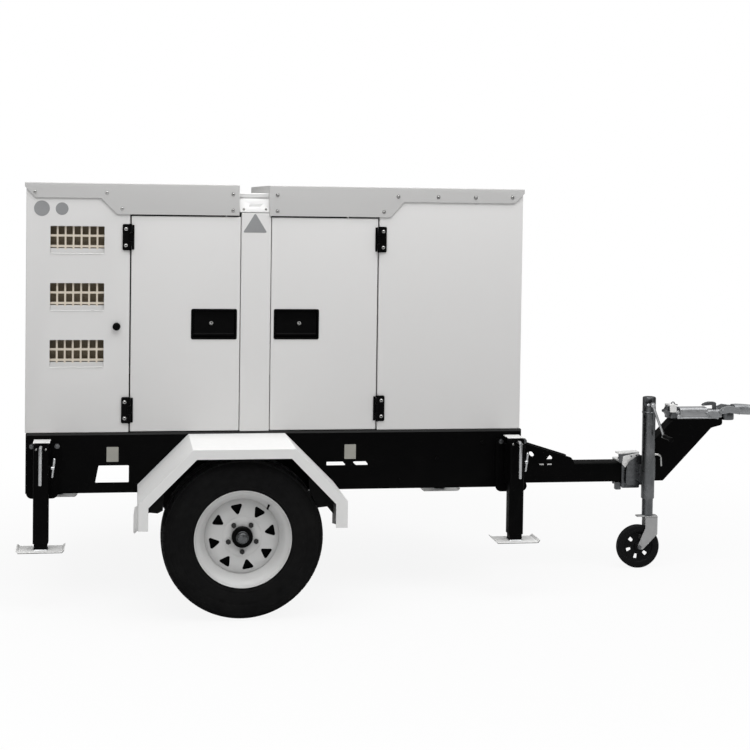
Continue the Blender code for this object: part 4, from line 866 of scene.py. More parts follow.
def hinge(end, side, sign):
    name = f"{end}_{side}"
    edge, way, axis_x = door_edges(end)
    panel_edge = edge - way * DOOR_GAP
    axis_y = sign * (FACE_Y + HINGE_OUT)
    y0, y1 = sign * (FACE_Y + 0.0004), sign * (FACE_Y + 0.0048)
    fixed, moving, bolts = Solid(), Solid(), Solid()
    x0, x1 = sorted((panel_edge - way * 0.031, axis_x - way * 0.004))
    dx0, dx1 = sorted((edge + way * 0.0045, edge + way * 0.0145))
    for z in HINGE_ZS:
        low, high = z - HINGE_H / 2, z + HINGE_H / 2
        near_panel = rect(x0, low, x1, high)
        corners = [0.006 if (x < (x0 + x1) / 2) == (way > 0) else 0.001 for x, _ in near_panel]
        fixed.prism(rounded(near_panel, corners), y0, y1)
        rib_x = panel_edge - way * 0.004
        rx0, rx1 = sorted((rib_x, axis_x - way * 0.0058))
        fixed.prism(rect(rx0, low + 0.001, rx1, high - 0.001, 0.001), y0, sign * (FACE_Y + 0.0085))
        moving.prism(rect(dx0, low + 0.003, dx1, high - 0.003, 0.002), y0, sign * (FACE_Y + 0.0036))
        spans = knuckles(z)
        for i, (za, zb) in enumerate(spans):
            barrel = moving if i == 1 else fixed
            barrel.rod((axis_x, axis_y, za), (axis_x, axis_y, zb), KNUCKLE_R, 32)
            wx0, wx1 = sorted((axis_x, (edge + way * 0.009) if i == 1 else (panel_edge - way * 0.008)))
            wy0, wy1 = sorted((sign * (FACE_Y + 0.0005), axis_y))
            barrel.box((wx0, wy0, za), (wx1, wy1, zb))
        for za in (low - 0.001, high - 0.001):
            fixed.rod((axis_x, axis_y, za), (axis_x, axis_y, za + 0.002), 0.0042, 24)
        for dz in (-0.034, 0.034):
            button_screw(bolts, panel_edge - way * 0.017, y1, z + dz, (0, sign, 0), 0.0062, 0.0074)
    fixed.piece("hinge_leaf_" + name, PLASTIC, "trailer", ["hinge_" + name], "black_plastic",
                bevel=0.0007)
    moving.piece("hinge_arm_" + name, PLASTIC, f"door_{name}", slot="black_plastic", bevel=0.0005)
    bolts.piece("hinge_bolts_" + name, SCREW, "trailer", slot="zinc")
    paint_socket_shade("hinge_sockets_" + name, "trailer")


def stop_knob():
    lo, hi = span("stop_knob")
    x, z, out = (lo.x + hi.x) / 2, (lo.z + hi.z) / 2, lo.y
    cap = Solid().turned([(0, 0), (0.007, -0.0004), (0.0118, -0.002), (0.0152, -0.0052), (0.0163, -0.009),
                          (0.0163, -0.0125), (0.0145, -0.0136), (0.0080, -0.0136), (0.0080, -0.044),
                          (0, -0.044)], (x, out, z), (0, -1, 0), 48)
    for k in range(18):
        a = TAU * k / 18
        cap.rod((x + 0.0160 * math.cos(a), out + 0.006, z + 0.0160 * math.sin(a)),
                (x + 0.0160 * math.cos(a), out + 0.0122, z + 0.0160 * math.sin(a)), 0.0008, 8)
    cap.piece("push_knob", PLASTIC, "stop_knob", ["stop_knob"], "black_plastic")
    collar = Solid().prism(circle(x, z, 0.0155), -FACE_Y - 0.0004, -FACE_Y - 0.0001, "Y",
                           [circle(x, z, 0.0086)])
    collar.piece("knob_collar", SEAL, "trailer")


# ---------------------------------------------------------------- stickers and plates, all bare
def stickers():
    """Blank vinyl at the places of the decals: nothing is printed on them."""
    y0, y1 = -FACE_Y - 0.0005, -FACE_Y - 0.0001
    tri_x, tri_low, tri_h, tri_half = 0.0675, 1.5340, 0.0825, 0.0510
    triangle = rounded([(tri_x - tri_half, tri_low), (tri_x + tri_half, tri_low), (tri_x, tri_low + tri_h)],
                       0.004)
    blank = Solid().prism(triangle, y0, y1)
    blank.prism(circle(-0.812, 1.626, 0.032, 48), y0, y1)
    blank.prism(circle(-0.7305, 1.625, 0.026, 48), y0, y1)
    blank.piece("blank_stickers", VINYL, "trailer")
    plates = Solid()
    base_y = BOX["base_frame"][0].y
    for x in (-0.5165, 0.4835):
        plates.prism(rect(x - 0.0245, 0.5745, x + 0.0245, 0.6365, 0.002), base_y - 0.0008, base_y - 0.0001)
    plates.piece("blank_plates", LABEL, "trailer", bevel=0.0002)


# ---------------------------------------------------------------- road wheels and fenders
TYRE_LO, TYRE_HI = span("tyre_near")
HUB_Z = (TYRE_LO.z + TYRE_HI.z) / 2
TYRE_R = TYRE_HI.z - HUB_Z                 # the round tyre that stands on the ground
TRACK = -(TYRE_LO.y + TYRE_HI.y) / 2
TREAD_PITCHES = 60
TREAD_DEPTH = 0.0048
SIDEWALL = [(0.178, 0.0560), (0.1905, 0.0600), (0.1962, 0.0740), (0.1990, 0.0815), (0.2060, 0.0850),
            (0.2100, 0.0868), (0.2125, 0.0862), (0.2200, 0.0893), (0.2400, 0.0924), (0.2560, 0.0930),
            (0.2575, 0.0922), (0.2590, 0.0928), (0.2760, 0.0912), (0.2900, 0.0880), (0.2912, 0.0868),
            (0.2925, 0.0872), (0.3020, 0.0825), (0.3095, 0.0770)]


def tread_radius(y):
    """Radius of the tread surface at a distance from the tyre's middle plane."""
    t = abs(y) / 0.080
    return TYRE_R - 0.0022 * t ** 2 - 0.0075 * max(0.0, t - 0.72) ** 1.5 / 0.15


def tyre(side, sign):
    y = sign * TRACK
    crown = [(tread_radius(v) - TREAD_DEPTH, v) for v in (0.074, 0.060, 0.040, 0.020, 0.0)]
    half = SIDEWALL + crown
    profile = half + [(r, -v) for r, v in reversed(half[:-1])]
    profile += [(0.178, -0.050), (0.245, -0.078), (0.298, -0.062), (0.300, 0.062), (0.245, 0.078),
                (0.178, 0.050)]
    solid = Solid().turned(profile[::-1], (0, y, HUB_Z), (0, 1, 0), WHEEL_STEPS, True)
    rows = [(-0.079, -0.053, 0.10), (-0.046, -0.024, -0.35), (-0.018, 0.018, 0.0),
            (0.024, 0.046, 0.35), (0.053, 0.079, -0.10)]
    for row, (v0, v1, skew) in enumerate(rows):
        for k in range(TREAD_PITCHES):
            start = TAU * (k + 0.5 * (row % 2)) / TREAD_PITCHES
            fill = 0.95 if row == 2 else 0.92
            tread_block(solid, y, v0, v1, start, TAU / TREAD_PITCHES * fill, skew * TAU / TREAD_PITCHES)
    solid.piece("tyre_" + side + "_tread", RUBBER, "wheel_" + side, ["tyre_" + side], "tyre")


def tread_block(solid, y, v0, v1, start, width, skew):
    """A rubber block between two angles, standing on the tyre's carcass."""
    columns = []
    for share in (0.0, 0.5, 1.0):
        for v, lean in ((v0, -skew / 2), (v1, skew / 2)):
            a = start + width * share + lean
            for r in (tread_radius(v) - TREAD_DEPTH - 0.002, tread_radius(v)):
                columns.append(solid.bm.verts.new(at(r * math.sin(a), y + v, HUB_Z + r * math.cos(a))))
    low0, top0, low1, top1 = 0, 1, 2, 3
    face = solid.bm.faces.new
    for k in (0, 4):
        face((columns[k + top0], columns[k + top1], columns[k + 4 + top1], columns[k + 4 + top0]))
        face((columns[k + low0], columns[k + low1], columns[k + 4 + low1], columns[k + 4 + low0]))
        face((columns[k + low0], columns[k + top0], columns[k + 4 + top0], columns[k + 4 + low0]))
        face((columns[k + low1], columns[k + top1], columns[k + 4 + top1], columns[k + 4 + low1]))
    for k in (0, 8):
        face((columns[k + low0], columns[k + top0], columns[k + top1], columns[k + low1]))


WINDOWS, WINDOW_CIRCLE, WINDOW_R, WINDOW_TURN = 8, 0.1150, 0.0325, math.radians(11.2)
NUTS, NUT_CIRCLE = 5, 0.0585
NUT_RINGS = ((0.030, 0.0345, 0.0080, 24, 0.0098), (0.0345, 0.0440, 0.0105, 6, None),   # seat, hexagon
             (0.0435, 0.0455, 0.0088, 24, 0.0072), (0.0440, 0.0520, 0.0058, 20, None))  # crown, stud


def on_wheel(sign, radius, angle):
    """X and Z of a point on the wheel's face, its angle seen from outside."""
    return -sign * radius * math.cos(angle), HUB_Z + radius * math.sin(angle)


def rim(side, sign):
    """Pressed steel wheel: rolled flange, drop centre, domed disc with windows, and the hub."""
    y = sign * TRACK
    profile = [(0.036, 0.030), (0.044, 0.030), (0.052, 0.0325), (0.068, 0.0345), (0.074, 0.0330),
               (0.080, 0.0300), (0.088, 0.0315), (0.110, 0.0325), (0.132, 0.0285), (0.1455, 0.0200),
               (0.1500, 0.0150), (0.1515, 0.0172), (0.1530, 0.0215), (0.1570, 0.0280), (0.1620, 0.0390),
               (0.1690, 0.0530), (0.1740, 0.0595), (0.1800, 0.0640), (0.1850, 0.0680), (0.1885, 0.0730),
               (0.1905, 0.0785), (0.1915, 0.0820), (0.1930, 0.0833), (0.1946, 0.0827), (0.1950, 0.0795),
               (0.1936, 0.0770), (0.1925, 0.0700), (0.1880, 0.0655), (0.1790, 0.0630), (0.1730, 0.0580),
               (0.1640, 0.0420), (0.1590, 0.0300), (0.1590, -0.0300), (0.1780, -0.0640),
               (0.1930, -0.0720), (0.1946, -0.0830), (0.1920, -0.0835), (0.1895, -0.0740),
               (0.1740, -0.0660), (0.1545, -0.0300), (0.1545, 0.0130), (0.1480, 0.0120),
               (0.1320, 0.0240), (0.1100, 0.0285), (0.0880, 0.0275), (0.0790, 0.0260), (0.0520, 0.0290),
               (0.0360, 0.0265)]
    wheel = Solid().turned(profile[::-1], (0, y, HUB_Z), (0, sign, 0), WHEEL_STEPS, True)
    tool = Solid()
    for k in range(WINDOWS):
        a = WINDOW_TURN + TAU * k / WINDOWS
        middle = Vector(on_wheel(sign, WINDOW_CIRCLE, a))
        corners = []
        for turn in (math.pi, math.radians(58), -math.radians(58)):
            reach = WINDOW_R if turn != math.pi else WINDOW_R * 0.88
            corners.append((middle.x - sign * reach * math.cos(a + turn),
                            middle.y + reach * math.sin(a + turn)))
        tool.prism(rounded(corners, 0.0065), y + sign * 0.005, y + sign * 0.045)
    for k in range(NUTS):
        x, z = on_wheel(sign, NUT_CIRCLE, -math.pi / 2 + TAU * k / NUTS)
        tool.rod((x, y + sign * 0.0325, z), (x, y + sign * 0.040, z), 0.0098, 32, 0.0125)
    wheel.cut(tool)
    # Painted shade: the white disc gets the darkened wheel white.
    wheel.piece("wheel_disc_" + side, RIM_WHITE_SHADED, "wheel_" + side, ["rim_" + side], "white_paint",
                bevel=0.0008)
    drum = Solid().turned([(0.046, 0.006), (0.146, 0.006), (0.150, -0.002), (0.150, -0.048),
                           (0.046, -0.048)][::-1], (0, y, HUB_Z), (0, sign, 0), 96, True)
    drum.piece("brake_drum_" + side, BLACK, "wheel_" + side, slot="black_paint")
    hub_and_nuts(side, sign, y)
    ax, az = on_wheel(sign, 0.166, math.radians(51))
    bx, bz = on_wheel(sign, 0.154, math.radians(51))
    valve = Solid().rod((ax, y + sign * 0.048, az), (bx, y + sign * 0.066, bz), 0.0050, 20, 0.0036)
    valve.rod((bx, y + sign * 0.064, bz), (bx, y + sign * 0.074, bz), 0.0042, 20)
    valve.piece("tyre_valve_" + side, SOLID_RUBBER, "wheel_" + side, slot="solid_rubber")


def hub_and_nuts(side, sign, y):
    """The black hub ring, its zinc grease cap and five wheel nuts on their studs."""
    out = (0, sign, 0)
    hub = Solid().turned([(0.0245, 0.046), (0.0300, 0.047), (0.0390, 0.0475), (0.0415, 0.0455),
                          (0.0425, 0.040), (0.0430, 0.026), (0.0450, -0.030), (0.022, -0.036),
                          (0.022, 0.044)][::-1], (0, y, HUB_Z), out, 96, True)
    hub.piece("hub_ring_" + side, PLASTIC, "wheel_" + side, slot="black_paint")
    cap = Solid().turned([(0, 0.0675), (0.013, 0.0672), (0.0185, 0.0655), (0.0215, 0.0620), (0.0232, 0.056),
                          (0.0236, 0.050), (0.0255, 0.0488), (0.0255, 0.0462), (0, 0.0462)],
                         (0, y, HUB_Z), out, 96)
    cap.piece("grease_cap_" + side, TUBE, "wheel_" + side, slot="zinc")
    nuts = Solid()
    for k in range(NUTS):
        x, z = on_wheel(sign, NUT_CIRCLE, -math.pi / 2 + TAU * k / NUTS)
        for start, end, radius, sides, tip in NUT_RINGS:
            nuts.rod((x, y + sign * start, z), (x, y + sign * end, z), radius, sides, tip)
    # Painted shade: the zinc nuts are given a dark grey.
    nuts.piece("wheel_nuts_" + side, EDGE, "wheel_" + side, slot="zinc", bevel=0.0005)


FENDER_FLAT, FENDER_SLOPE, FENDER_LIP = 0.203, 0.210, 0.038


def fender(side, sign):
    """Folded sheet over the wheel: flat top, two slopes, upright ends and a lip down the face."""
    lo, hi = span("fender_" + side)
    end, top = FENDER_FLAT + FENDER_SLOPE, hi.z
    low, lip_z = top - FENDER_SLOPE, 0.371
    outer = [(-end, lip_z), (-end, low), (-FENDER_FLAT, top), (FENDER_FLAT, top), (end, low),
             (end, lip_z)]
    corner = FENDER_LIP * math.tan(math.pi / 8)
    inner = [(-end + FENDER_LIP, lip_z), (-end + FENDER_LIP, low - corner),
             (-FENDER_FLAT + corner, top - FENDER_LIP), (FENDER_FLAT - corner, top - FENDER_LIP),
             (end - FENDER_LIP - 0.009, low - corner + 0.004), (end - FENDER_LIP - 0.009, lip_z)]
    back = [(x, lo.z if z == lip_z else z) for x, z in outer]
    y_out = sign * max(abs(lo.y), abs(hi.y))
    y_in = sign * (FACE_Y + GAP)
    bm = bmesh.new()
    rows = [[bm.verts.new(at(x, y, z)) for x, z in points]
            for points, y in ((inner, y_out), (outer, y_out), (back, y_in))]
    for row, following in zip(rows, rows[1:]):
        for a, b, c, d in zip(row, row[1:], following[1:], following):
            bm.faces.new((a, b, c, d))
    bends = [e for e in bm.edges if len(e.link_faces) == 2 and e.calc_face_angle() > 0.2]
    bmesh.ops.bevel(bm, geom=bends, offset=0.0045, segments=4, profile=0.5, affect="EDGES")
    thicken(bm, 0.003)
    Solid().merge(bm).piece("fender_skin_" + side, WHITE, "trailer", ["fender_" + side], "white_paint",
                            bevel=0.0006)
    arch = Solid()
    for shape in ([(0.3000, 0.5200), (0.3046, 0.4483), (0.338, 0.3775), (0.3813, 0.3821), (0.409, 0.3480),
                   (0.409, 0.4400)],
                  [(-0.3000, 0.5200), (-0.409, 0.4400), (-0.409, 0.3640), (-0.3606, 0.3682),
                   (-0.3291, 0.3650), (-0.3079, 0.3760)]):
        arch.prism(shape, sign * 0.496, sign * 0.499)
    tab = Solid().prism(rounded([(-0.400, 0.420), (-0.4250, 0.405), (-0.4290, 0.372), (-0.4290, 0.302),
                                 (-0.4255, 0.296), (-0.4000, 0.318)], 0.002), sign * 0.560, sign * 0.563)
    tab.piece("fender_tab_" + side, WHITE, "trailer", slot="white_paint")
    arch.piece("arch_panels_" + side, ARCH, "trailer", slot="black_paint")
    bolts = Solid()
    for x in (-0.30, 0.30):
        slope_z = top - (abs(x) - FENDER_FLAT)
        bolts.rod((x, y_in, slope_z - 0.012), (x, y_in + sign * 0.012, slope_z - 0.012), 0.006, 6)
    bolts.piece("fender_bolts_" + side, SCREW, "trailer", slot="zinc")


# ---------------------------------------------------------------- skid base
def base_details():
    """The rail under the enclosure, its grey a painted highlight along the base's top edge, and the bolt
    heads on the base's sides.
    """
    base_y = -BOX["base_frame"][0].y
    lo, hi = span("base_frame")
    for side, sign in SIDES:
        y0, y1 = sorted((sign * (base_y - 0.001), sign * (base_y + 0.0012)))
        # Painted highlight: the grey strip along the black base's top edge.
        rail = Solid().box((lo.x + 0.004, y0, hi.z - 0.0105), (hi.x - 0.002, y1, hi.z - 0.0005))
        rail.piece("deck_rail_highlight_" + side, EDGE, "trailer", slot="black_paint", bevel=0.0035, segments=3)
        bolts = Solid()
        for x, z in ((-0.62, 0.478), (-0.42, 0.478), (0.86, 0.572), (1.06, 0.640), (0.70, 0.478)):
            hex_bolt(bolts, x, sign * base_y, z, (0, sign, 0), 0.0065, 0.005)
        bolts.piece("base_bolts_" + side, PLASTIC, "trailer", slot="black_paint", bevel=0.0004)


# ---------------------------------------------------------------- corner legs
LEG_TUBE, LEG_WALL = 0.062, 0.004


def leg(end, side, sign):
    name = f"{end}_{side}"
    lo, hi = span("leg_inner_" + name)
    x, y = (lo.x + hi.x) / 2, (lo.y + hi.y) / 2
    out_lo, out_hi = span("leg_bracket_" + name)
    top = out_hi.z - 0.007
    half = LEG_TUBE / 2
    outer = moved(rect(-half, -half, half, half, 0.007), x, y)
    bore = moved(rect(-half + LEG_WALL, -half + LEG_WALL, half - LEG_WALL, half - LEG_WALL, 0.004), x, y)
    tube = Solid().prism(outer, out_lo.z, top, "Z", [bore])
    face = sign * FACE_Y
    w, lobe, low = 0.065, 0.024, BASE_Z
    ear = w + (0.009 if end == "front" else 0.0)
    shape = ([(x + w, 0.655), (x - w, 0.655)] + arc(x - w + lobe, low + 0.005, lobe, 180, 270, 10)
             + arc(x + ear - lobe, low + 0.005, lobe, 270, 360, 10) + [(x + w, 0.480)])
    tube.prism(shape, face + sign * 0.0004, face + sign * 0.008)
    ys = sorted((face + sign * 0.007, y - sign * (half - 0.001)))
    tube.box((x - 0.034, ys[0], 0.470), (x - 0.026, ys[1], 0.640))
    tube.box((x + 0.026, ys[0], 0.470), (x + 0.034, ys[1], 0.640))
    tube.box((x - 0.034, ys[0], 0.606), (x + 0.034, ys[1], 0.612))
    tube.rod((x + half, y, 0.566), (x + half + 0.009, y, 0.566), 0.013, 32)
    tube.piece("leg_tube_" + name, BLACK, "trailer", ["leg_bracket_" + name], "black_paint", bevel=0.0012)

    cap = Solid()
    cap_y = sorted((y + sign * 0.004, face + sign * 0.006))
    cap.box((x - 0.0340, cap_y[0], top + 0.0003), (x + 0.0340, cap_y[1], top + 0.0040))
    # Painted highlight: the zinc cap is given a near-white colour for its bright edge.
    cap.piece("leg_cap_" + name, BRIGHT, "trailer", slot="zinc", bevel=0.0014, segments=3)
    leg_rod(name, x, y, sign)
    leg_bolts(name, x, y, sign, face)
    leg_foot(name, x, y, lo, hi)
    leg_screw(name, y)


def leg_rod(name, x, y, sign):
    """The bright locking rod that hangs down the tube's outer side from a bent eye."""
    rod_y, start = y + sign * (LEG_TUBE / 2 + 0.0490), y + sign * (LEG_TUBE / 2 - 0.002)
    rod = Solid().sweep([(x, start, 0.6520), (x, rod_y - sign * 0.030, 0.6600),
                         (x, rod_y - sign * 0.012, 0.6615), (x, rod_y - sign * 0.003, 0.6570),
                         (x, rod_y, 0.6470), (x, rod_y, 0.600), (x, rod_y, 0.512)], 0.0066, 24)
    rod.ball((x, rod_y, 0.512), 0.0066, (1, 1, 0.6))
    rod.piece("leg_rod_" + name, ZINC, "trailer", slot="zinc")
    collar = Solid().rod((x, start, 0.6520), (x, start + sign * 0.012, 0.6530), 0.0105, 32)
    collar.piece("leg_rod_collar_" + name, BLACK, "trailer", slot="black_paint", bevel=0.0006)


def leg_bolts(name, x, y, sign, face):
    bolts, heads = Solid(), Solid()
    for dx in (-0.043, 0.060):
        hex_bolt(heads, x + dx, face + sign * 0.008, 0.6430, (0, sign, 0), 0.0085, 0.007)
    for dx in (-0.0190, 0.0190):
        button_screw(bolts, x + dx, y + sign * LEG_TUBE / 2, 0.6480, (0, sign, 0), 0.0036, 0.0045)
    heads.piece("leg_bolt_heads_" + name, TUBE, "trailer", slot="zinc", bevel=0.0010)
    bolts.piece("leg_bolts_" + name, SCREW, "trailer", slot="zinc", bevel=0.0004)
    paint_socket_shade("leg_sockets_" + name, "trailer")


def leg_foot(name, x, y, lo, hi):
    """The inner tube and its foot: a pressed plate with turned-up ends and a weld bead."""
    inner_half = LEG_TUBE / 2 - LEG_WALL - 0.0004
    outline = moved(rect(-inner_half, -inner_half, inner_half, inner_half, 0.005), x, y)
    bore = moved(rect(-inner_half + 0.004, -inner_half + 0.004, inner_half - 0.004, inner_half - 0.004,
                      0.003), x, y)
    tube = Solid().prism(outline, lo.z + 0.004, hi.z, "Z", [bore])
    tube.piece("leg_slide_" + name, BLACK, "leg_" + name, slot="black_paint", bevel=0.0008)
    fx, t, lip, z = (hi.x - lo.x) / 2, 0.005, 0.013, lo.z
    profile = [(x - fx, z + lip), (x - fx + 0.008, z + 0.003), (x - fx + 0.015, z), (x + fx - 0.015, z),
               (x + fx - 0.008, z + 0.003), (x + fx, z + lip), (x + fx - 0.0042, z + lip),
               (x + fx - 0.0115, z + 0.006), (x + fx - 0.018, z + t), (x - fx + 0.018, z + t),
               (x - fx + 0.0115, z + 0.006), (x - fx + 0.0042, z + lip)]
    foot = Solid().prism(profile, lo.y, hi.y)
    foot.piece("leg_foot_" + name, BRIGHT, "leg_" + name, ["leg_inner_" + name], "zinc", bevel=0.0010,
               segments=3)
    # Painted shade: a dark line along the foot's front lower edge and up its end.
    front = lo.y if y < 0 else hi.y
    line = Solid().sweep([(x - fx + 0.010, front, z + 0.0014), (x + fx - 0.010, front, z + 0.0014)],
                         0.0010, 8)
    line.sweep([(x + fx - 0.010, front, z + 0.0014), (x + fx - 0.002, front, z + lip - 0.002)], 0.0012, 8)
    line.piece("leg_foot_shade_line_" + name, EDGE, "leg_" + name, slot="zinc")
    weld = [(px + x, py + y, z + t + 0.0005) for px, py in rect(-inner_half - 0.001, -inner_half - 0.001,
                                                               inner_half + 0.001, inner_half + 0.001, 0.006)]
    bead = Solid().sweep(weld + weld[:1], 0.0028, 10)
    bead.piece("leg_weld_" + name, ZINC, "leg_" + name, slot="zinc")


def leg_screw(name, y):
    """Clamp screw with its sliding T-bar, domed at both ends."""
    lo, hi = span("leg_clamp_" + name)
    z = (lo.z + hi.z) / 2
    bar_x = hi.x - 0.0090
    screw = Solid().rod((lo.x, y, z), (bar_x, y, z), 0.0068, 32)
    screw.rod((bar_x - 0.004, y, z), (bar_x + 0.005, y, z), 0.0085, 32)
    dx, dz = 0.0040, 0.0345
    screw.rod((bar_x - dx, y, z - dz), (bar_x + dx, y, z + dz), 0.0062, 24)
    for s in (-1, 1):
        screw.ball((bar_x + s * dx, y, z + s * dz), 0.0066, steps=20)
    screw.piece("clamp_bar_" + name, ZINC, "clamp_" + name, ["leg_clamp_" + name], "zinc")


# ---------------------------------------------------------------- skid base and drawbar
BEAM_HALF, BEAM_LOW, BEAM_TOP = 0.050, 0.383, 0.473


def skid_base():
    """The folded black base: slanted see-through holes, slots and the drawbar's passage."""
    lo, hi = span("base_frame")
    shell = Solid().sheet(lo, hi, (0, 0, -1), 0.005, 0.007)
    tool = Solid()
    for sign in (-1, 1):
        y0, y1 = sign * (FACE_Y - 0.02), sign * (FACE_Y + 0.02)
        for shape in ([(-0.5735, 0.559), (-0.587, 0.488), (-0.449, 0.488), (-0.449, 0.559)],
                      [(0.3825, 0.563), (0.3825, 0.5475), (0.4665, 0.5475), (0.4520, 0.563)],
                      [(0.4925, 0.563), (0.5095, 0.5475), (0.5635, 0.5475), (0.5510, 0.563)]):
            tool.prism(rounded(shape, 0.003), y0, y1)
    tool.box((0.3, -BEAM_HALF - GAP, BASE_Z - 0.1), (hi.x + 0.1, BEAM_HALF + GAP, BEAM_TOP + GAP))
    shell.cut(tool)
    shell.piece("skid_base", BLACK, "trailer", ["base_frame"], "black_paint", bevel=0.0008)
    foot = Solid()
    for sign in (-1, 1):
        y0, y1 = face_band(sign, -0.0045, -0.055)
        foot.box((lo.x + 0.006, y0, BASE_Z + 0.001), (hi.x - 0.006, y1, BASE_Z + 0.006))
    foot.piece("base_flanges", BLACK, "trailer", slot="black_paint", bevel=0.0015)


def drawbar():
    lo, hi = span("drawbar")
    tube = Solid().prism(rect(-BEAM_HALF, BEAM_LOW, BEAM_HALF, BEAM_TOP, 0.009), lo.x, hi.x, "X",
                         [rect(-BEAM_HALF + 0.006, BEAM_LOW + 0.006, BEAM_HALF - 0.006, BEAM_TOP - 0.006,
                               0.005)])
    for x in (0.73, 1.02):
        tube.box((x - 0.030, lo.y + GAP, BASE_Z + 0.008), (x + 0.030, hi.y - GAP, BEAM_TOP - 0.002))
    tube.piece("drawbar_tube", BLACK, "trailer", ["drawbar"], "black_paint", bevel=0.0010)

    x = CANOPY_X1 + 0.009
    outline = rounded([(x + 0.001, 0.605), (x + 0.350, 0.497), (x + 0.360, 0.476), (x + 0.360, 0.390),
                       (x + 0.001, 0.390)], (0.002, 0.02, 0.008, 0.02, 0.002))
    oval = [(1.389 + 0.0115 * math.cos(a) - 0.006 * math.sin(a), 0.517 + 0.0135 * math.sin(a))
            for a in (TAU * i / 32 for i in range(32))]
    triangle = rounded([(1.454, 0.486), (1.488, 0.486), (1.491, 0.499), (1.476, 0.514)], 0.004)
    slots = [rect(sx - 0.011, 0.4665, sx + 0.011, 0.4735, 0.0032) for sx in (1.438, 1.476)]
    plates = Solid()
    for sign in (-1, 1):
        y = sign * (BEAM_HALF - 0.001)
        shift, drop = (0.0, 0.0) if sign < 0 else (0.0295, 0.0150)
        holes = [moved(shape, shift, -drop) for shape in (oval, triangle)]
        plates.prism(outline, y, y + sign * 0.008, "Y", holes + slots)
    # Near-white blocks in the gusset slots, so that the slots show white.
    marks = Solid()
    for sign in (-1, 1):
        y0, y1 = sorted((sign * (BEAM_HALF + 0.0003), sign * (BEAM_HALF + 0.0055)))
        for sx in (1.438, 1.476):
            marks.box((sx - 0.0105, y0, 0.4670), (sx + 0.0105, y1, 0.4730))
    marks.piece("gusset_slot_fills", BRIGHT, "trailer", slot="zinc")
    plates.piece("gusset_plates", BLACK, "trailer", slot="black_paint", bevel=0.0012)
    flange = Solid()
    top = [(x + GAP, 0.600), (x + 0.010, 0.604), (x + 0.348, 0.4985), (x + 0.348, 0.4945),
           (x + 0.010, 0.5990), (x + GAP, 0.595)]
    for sign in (-1, 1):
        flange.prism(top, sign * (BEAM_HALF + 0.0065), sign * (BEAM_HALF - 0.018))
    flange.box((x + GAP, -0.100, 0.4745), (x + 0.008, 0.100, 0.640))
    flange.piece("gusset_flanges", BLACK, "trailer", slot="black_paint", bevel=0.0008)
    welds = Solid()
    for sign in (-1, 1):
        y = sign * (BEAM_HALF + 0.006)
        welds.sweep([(x + 0.002, y, 0.398), (x + 0.002, y, 0.598)], 0.0045, 10)
        welds.sweep([(x + 0.012, sign * BEAM_HALF, BEAM_TOP), (x + 0.357, sign * BEAM_HALF, BEAM_TOP)],
                    0.0030, 10)
    welds.piece("drawbar_welds", BLACK, "trailer", slot="black_paint")
    drawbar_bolts(x)


def drawbar_bolts(x):
    """The bolts through the gussets' flange at the base."""
    bolts = Solid()
    for sign in (-1, 1):
        for z in (0.500, 0.560, 0.618):
            hex_bolt(bolts, x + 0.008, sign * 0.080, z, (1, 0, 0), 0.0085, 0.007)
    bolts.piece("drawbar_bolts", BLACK, "trailer", slot="black_paint", bevel=0.0004)


def gooseneck():
    """The raised neck, a closed box with the platform on top, and its welds."""
    lo, hi = span("gooseneck")
    outline = [(lo.x, 0.383), (lo.x, 0.577), (2.078, hi.z), (2.317, hi.z), (2.317, 0.643),
               (2.263, 0.629), (2.030, 0.383)]
    outline = rounded(outline, (0.004, 0.010, 0.006, 0.010, 0.012, 0.014, 0.008))
    neck = Solid().prism(outline, lo.y, hi.y)
    neck.piece("neck_box", BLACK, "trailer", ["gooseneck"], "black_paint", bevel=0.0035, segments=4)
    weld = Solid()
    for sign in (-1, 1):
        y = sign * 0.039
        weld.sweep([(lo.x - 0.0015, y, 0.386), (lo.x - 0.0015, y, BEAM_TOP)], 0.004, 10)
    weld.piece("neck_welds", BLACK, "trailer", slot="black_paint")


# ---------------------------------------------------------------- tow coupling
NECK_Z = BOX["gooseneck"][1].z
CUP_X = 2.352
HANDLE_AXIS = (2.318, 0.708)


def coupling():
    """Pressed channel with rolled edges, the ball cup and a rear clevis on the neck's platform."""
    z0 = NECK_Z + GAP
    body = Solid()
    section = [(-0.031, z0 + 0.004), (-0.0325, z0 + 0.030), (-0.0290, z0 + 0.044), (-0.0200, z0 + 0.0505),
               (0.0, z0 + 0.0520), (0.0200, z0 + 0.0505), (0.0290, z0 + 0.044), (0.0325, z0 + 0.030),
               (0.031, z0 + 0.004)]
    body.prism(section, 2.112, 2.246, "X")
    nose = [(-0.0325, z0 + 0.004), (-0.034, z0 + 0.028), (-0.0290, z0 + 0.0395), (0.0290, z0 + 0.0395),
            (0.034, z0 + 0.028), (0.0325, z0 + 0.004)]
    body.prism(nose, 2.244, 2.316, "X")
    body.prism(rect(2.095, z0, 2.300, z0 + 0.006, 0.002), -0.0395, 0.0395)
    body.piece("coupling_channel", CAST, "trailer", ["coupling_body"], "cast_aluminium", bevel=0.0024,
               segments=4)
    cup = Solid().turned([(0, 0.0475), (0.014, 0.0470), (0.0235, 0.0435), (0.0300, 0.0365), (0.0335, 0.0260),
                          (0.0343, 0.0120), (0.0343, -0.0050), (0.0325, -0.0085), (0.0285, -0.0090),
                          (0.0262, -0.0060), (0.0258, 0.0060), (0.0240, 0.0160), (0.0190, 0.0230),
                          (0.0100, 0.0270), (0, 0.0280)], (CUP_X, 0, NECK_Z), (0, 0, 1), 64)
    cup.piece("coupling_cup", TUBE, "trailer", slot="cast_aluminium")
    clevis(z0)
    coupling_catch()
    coupling_handle()


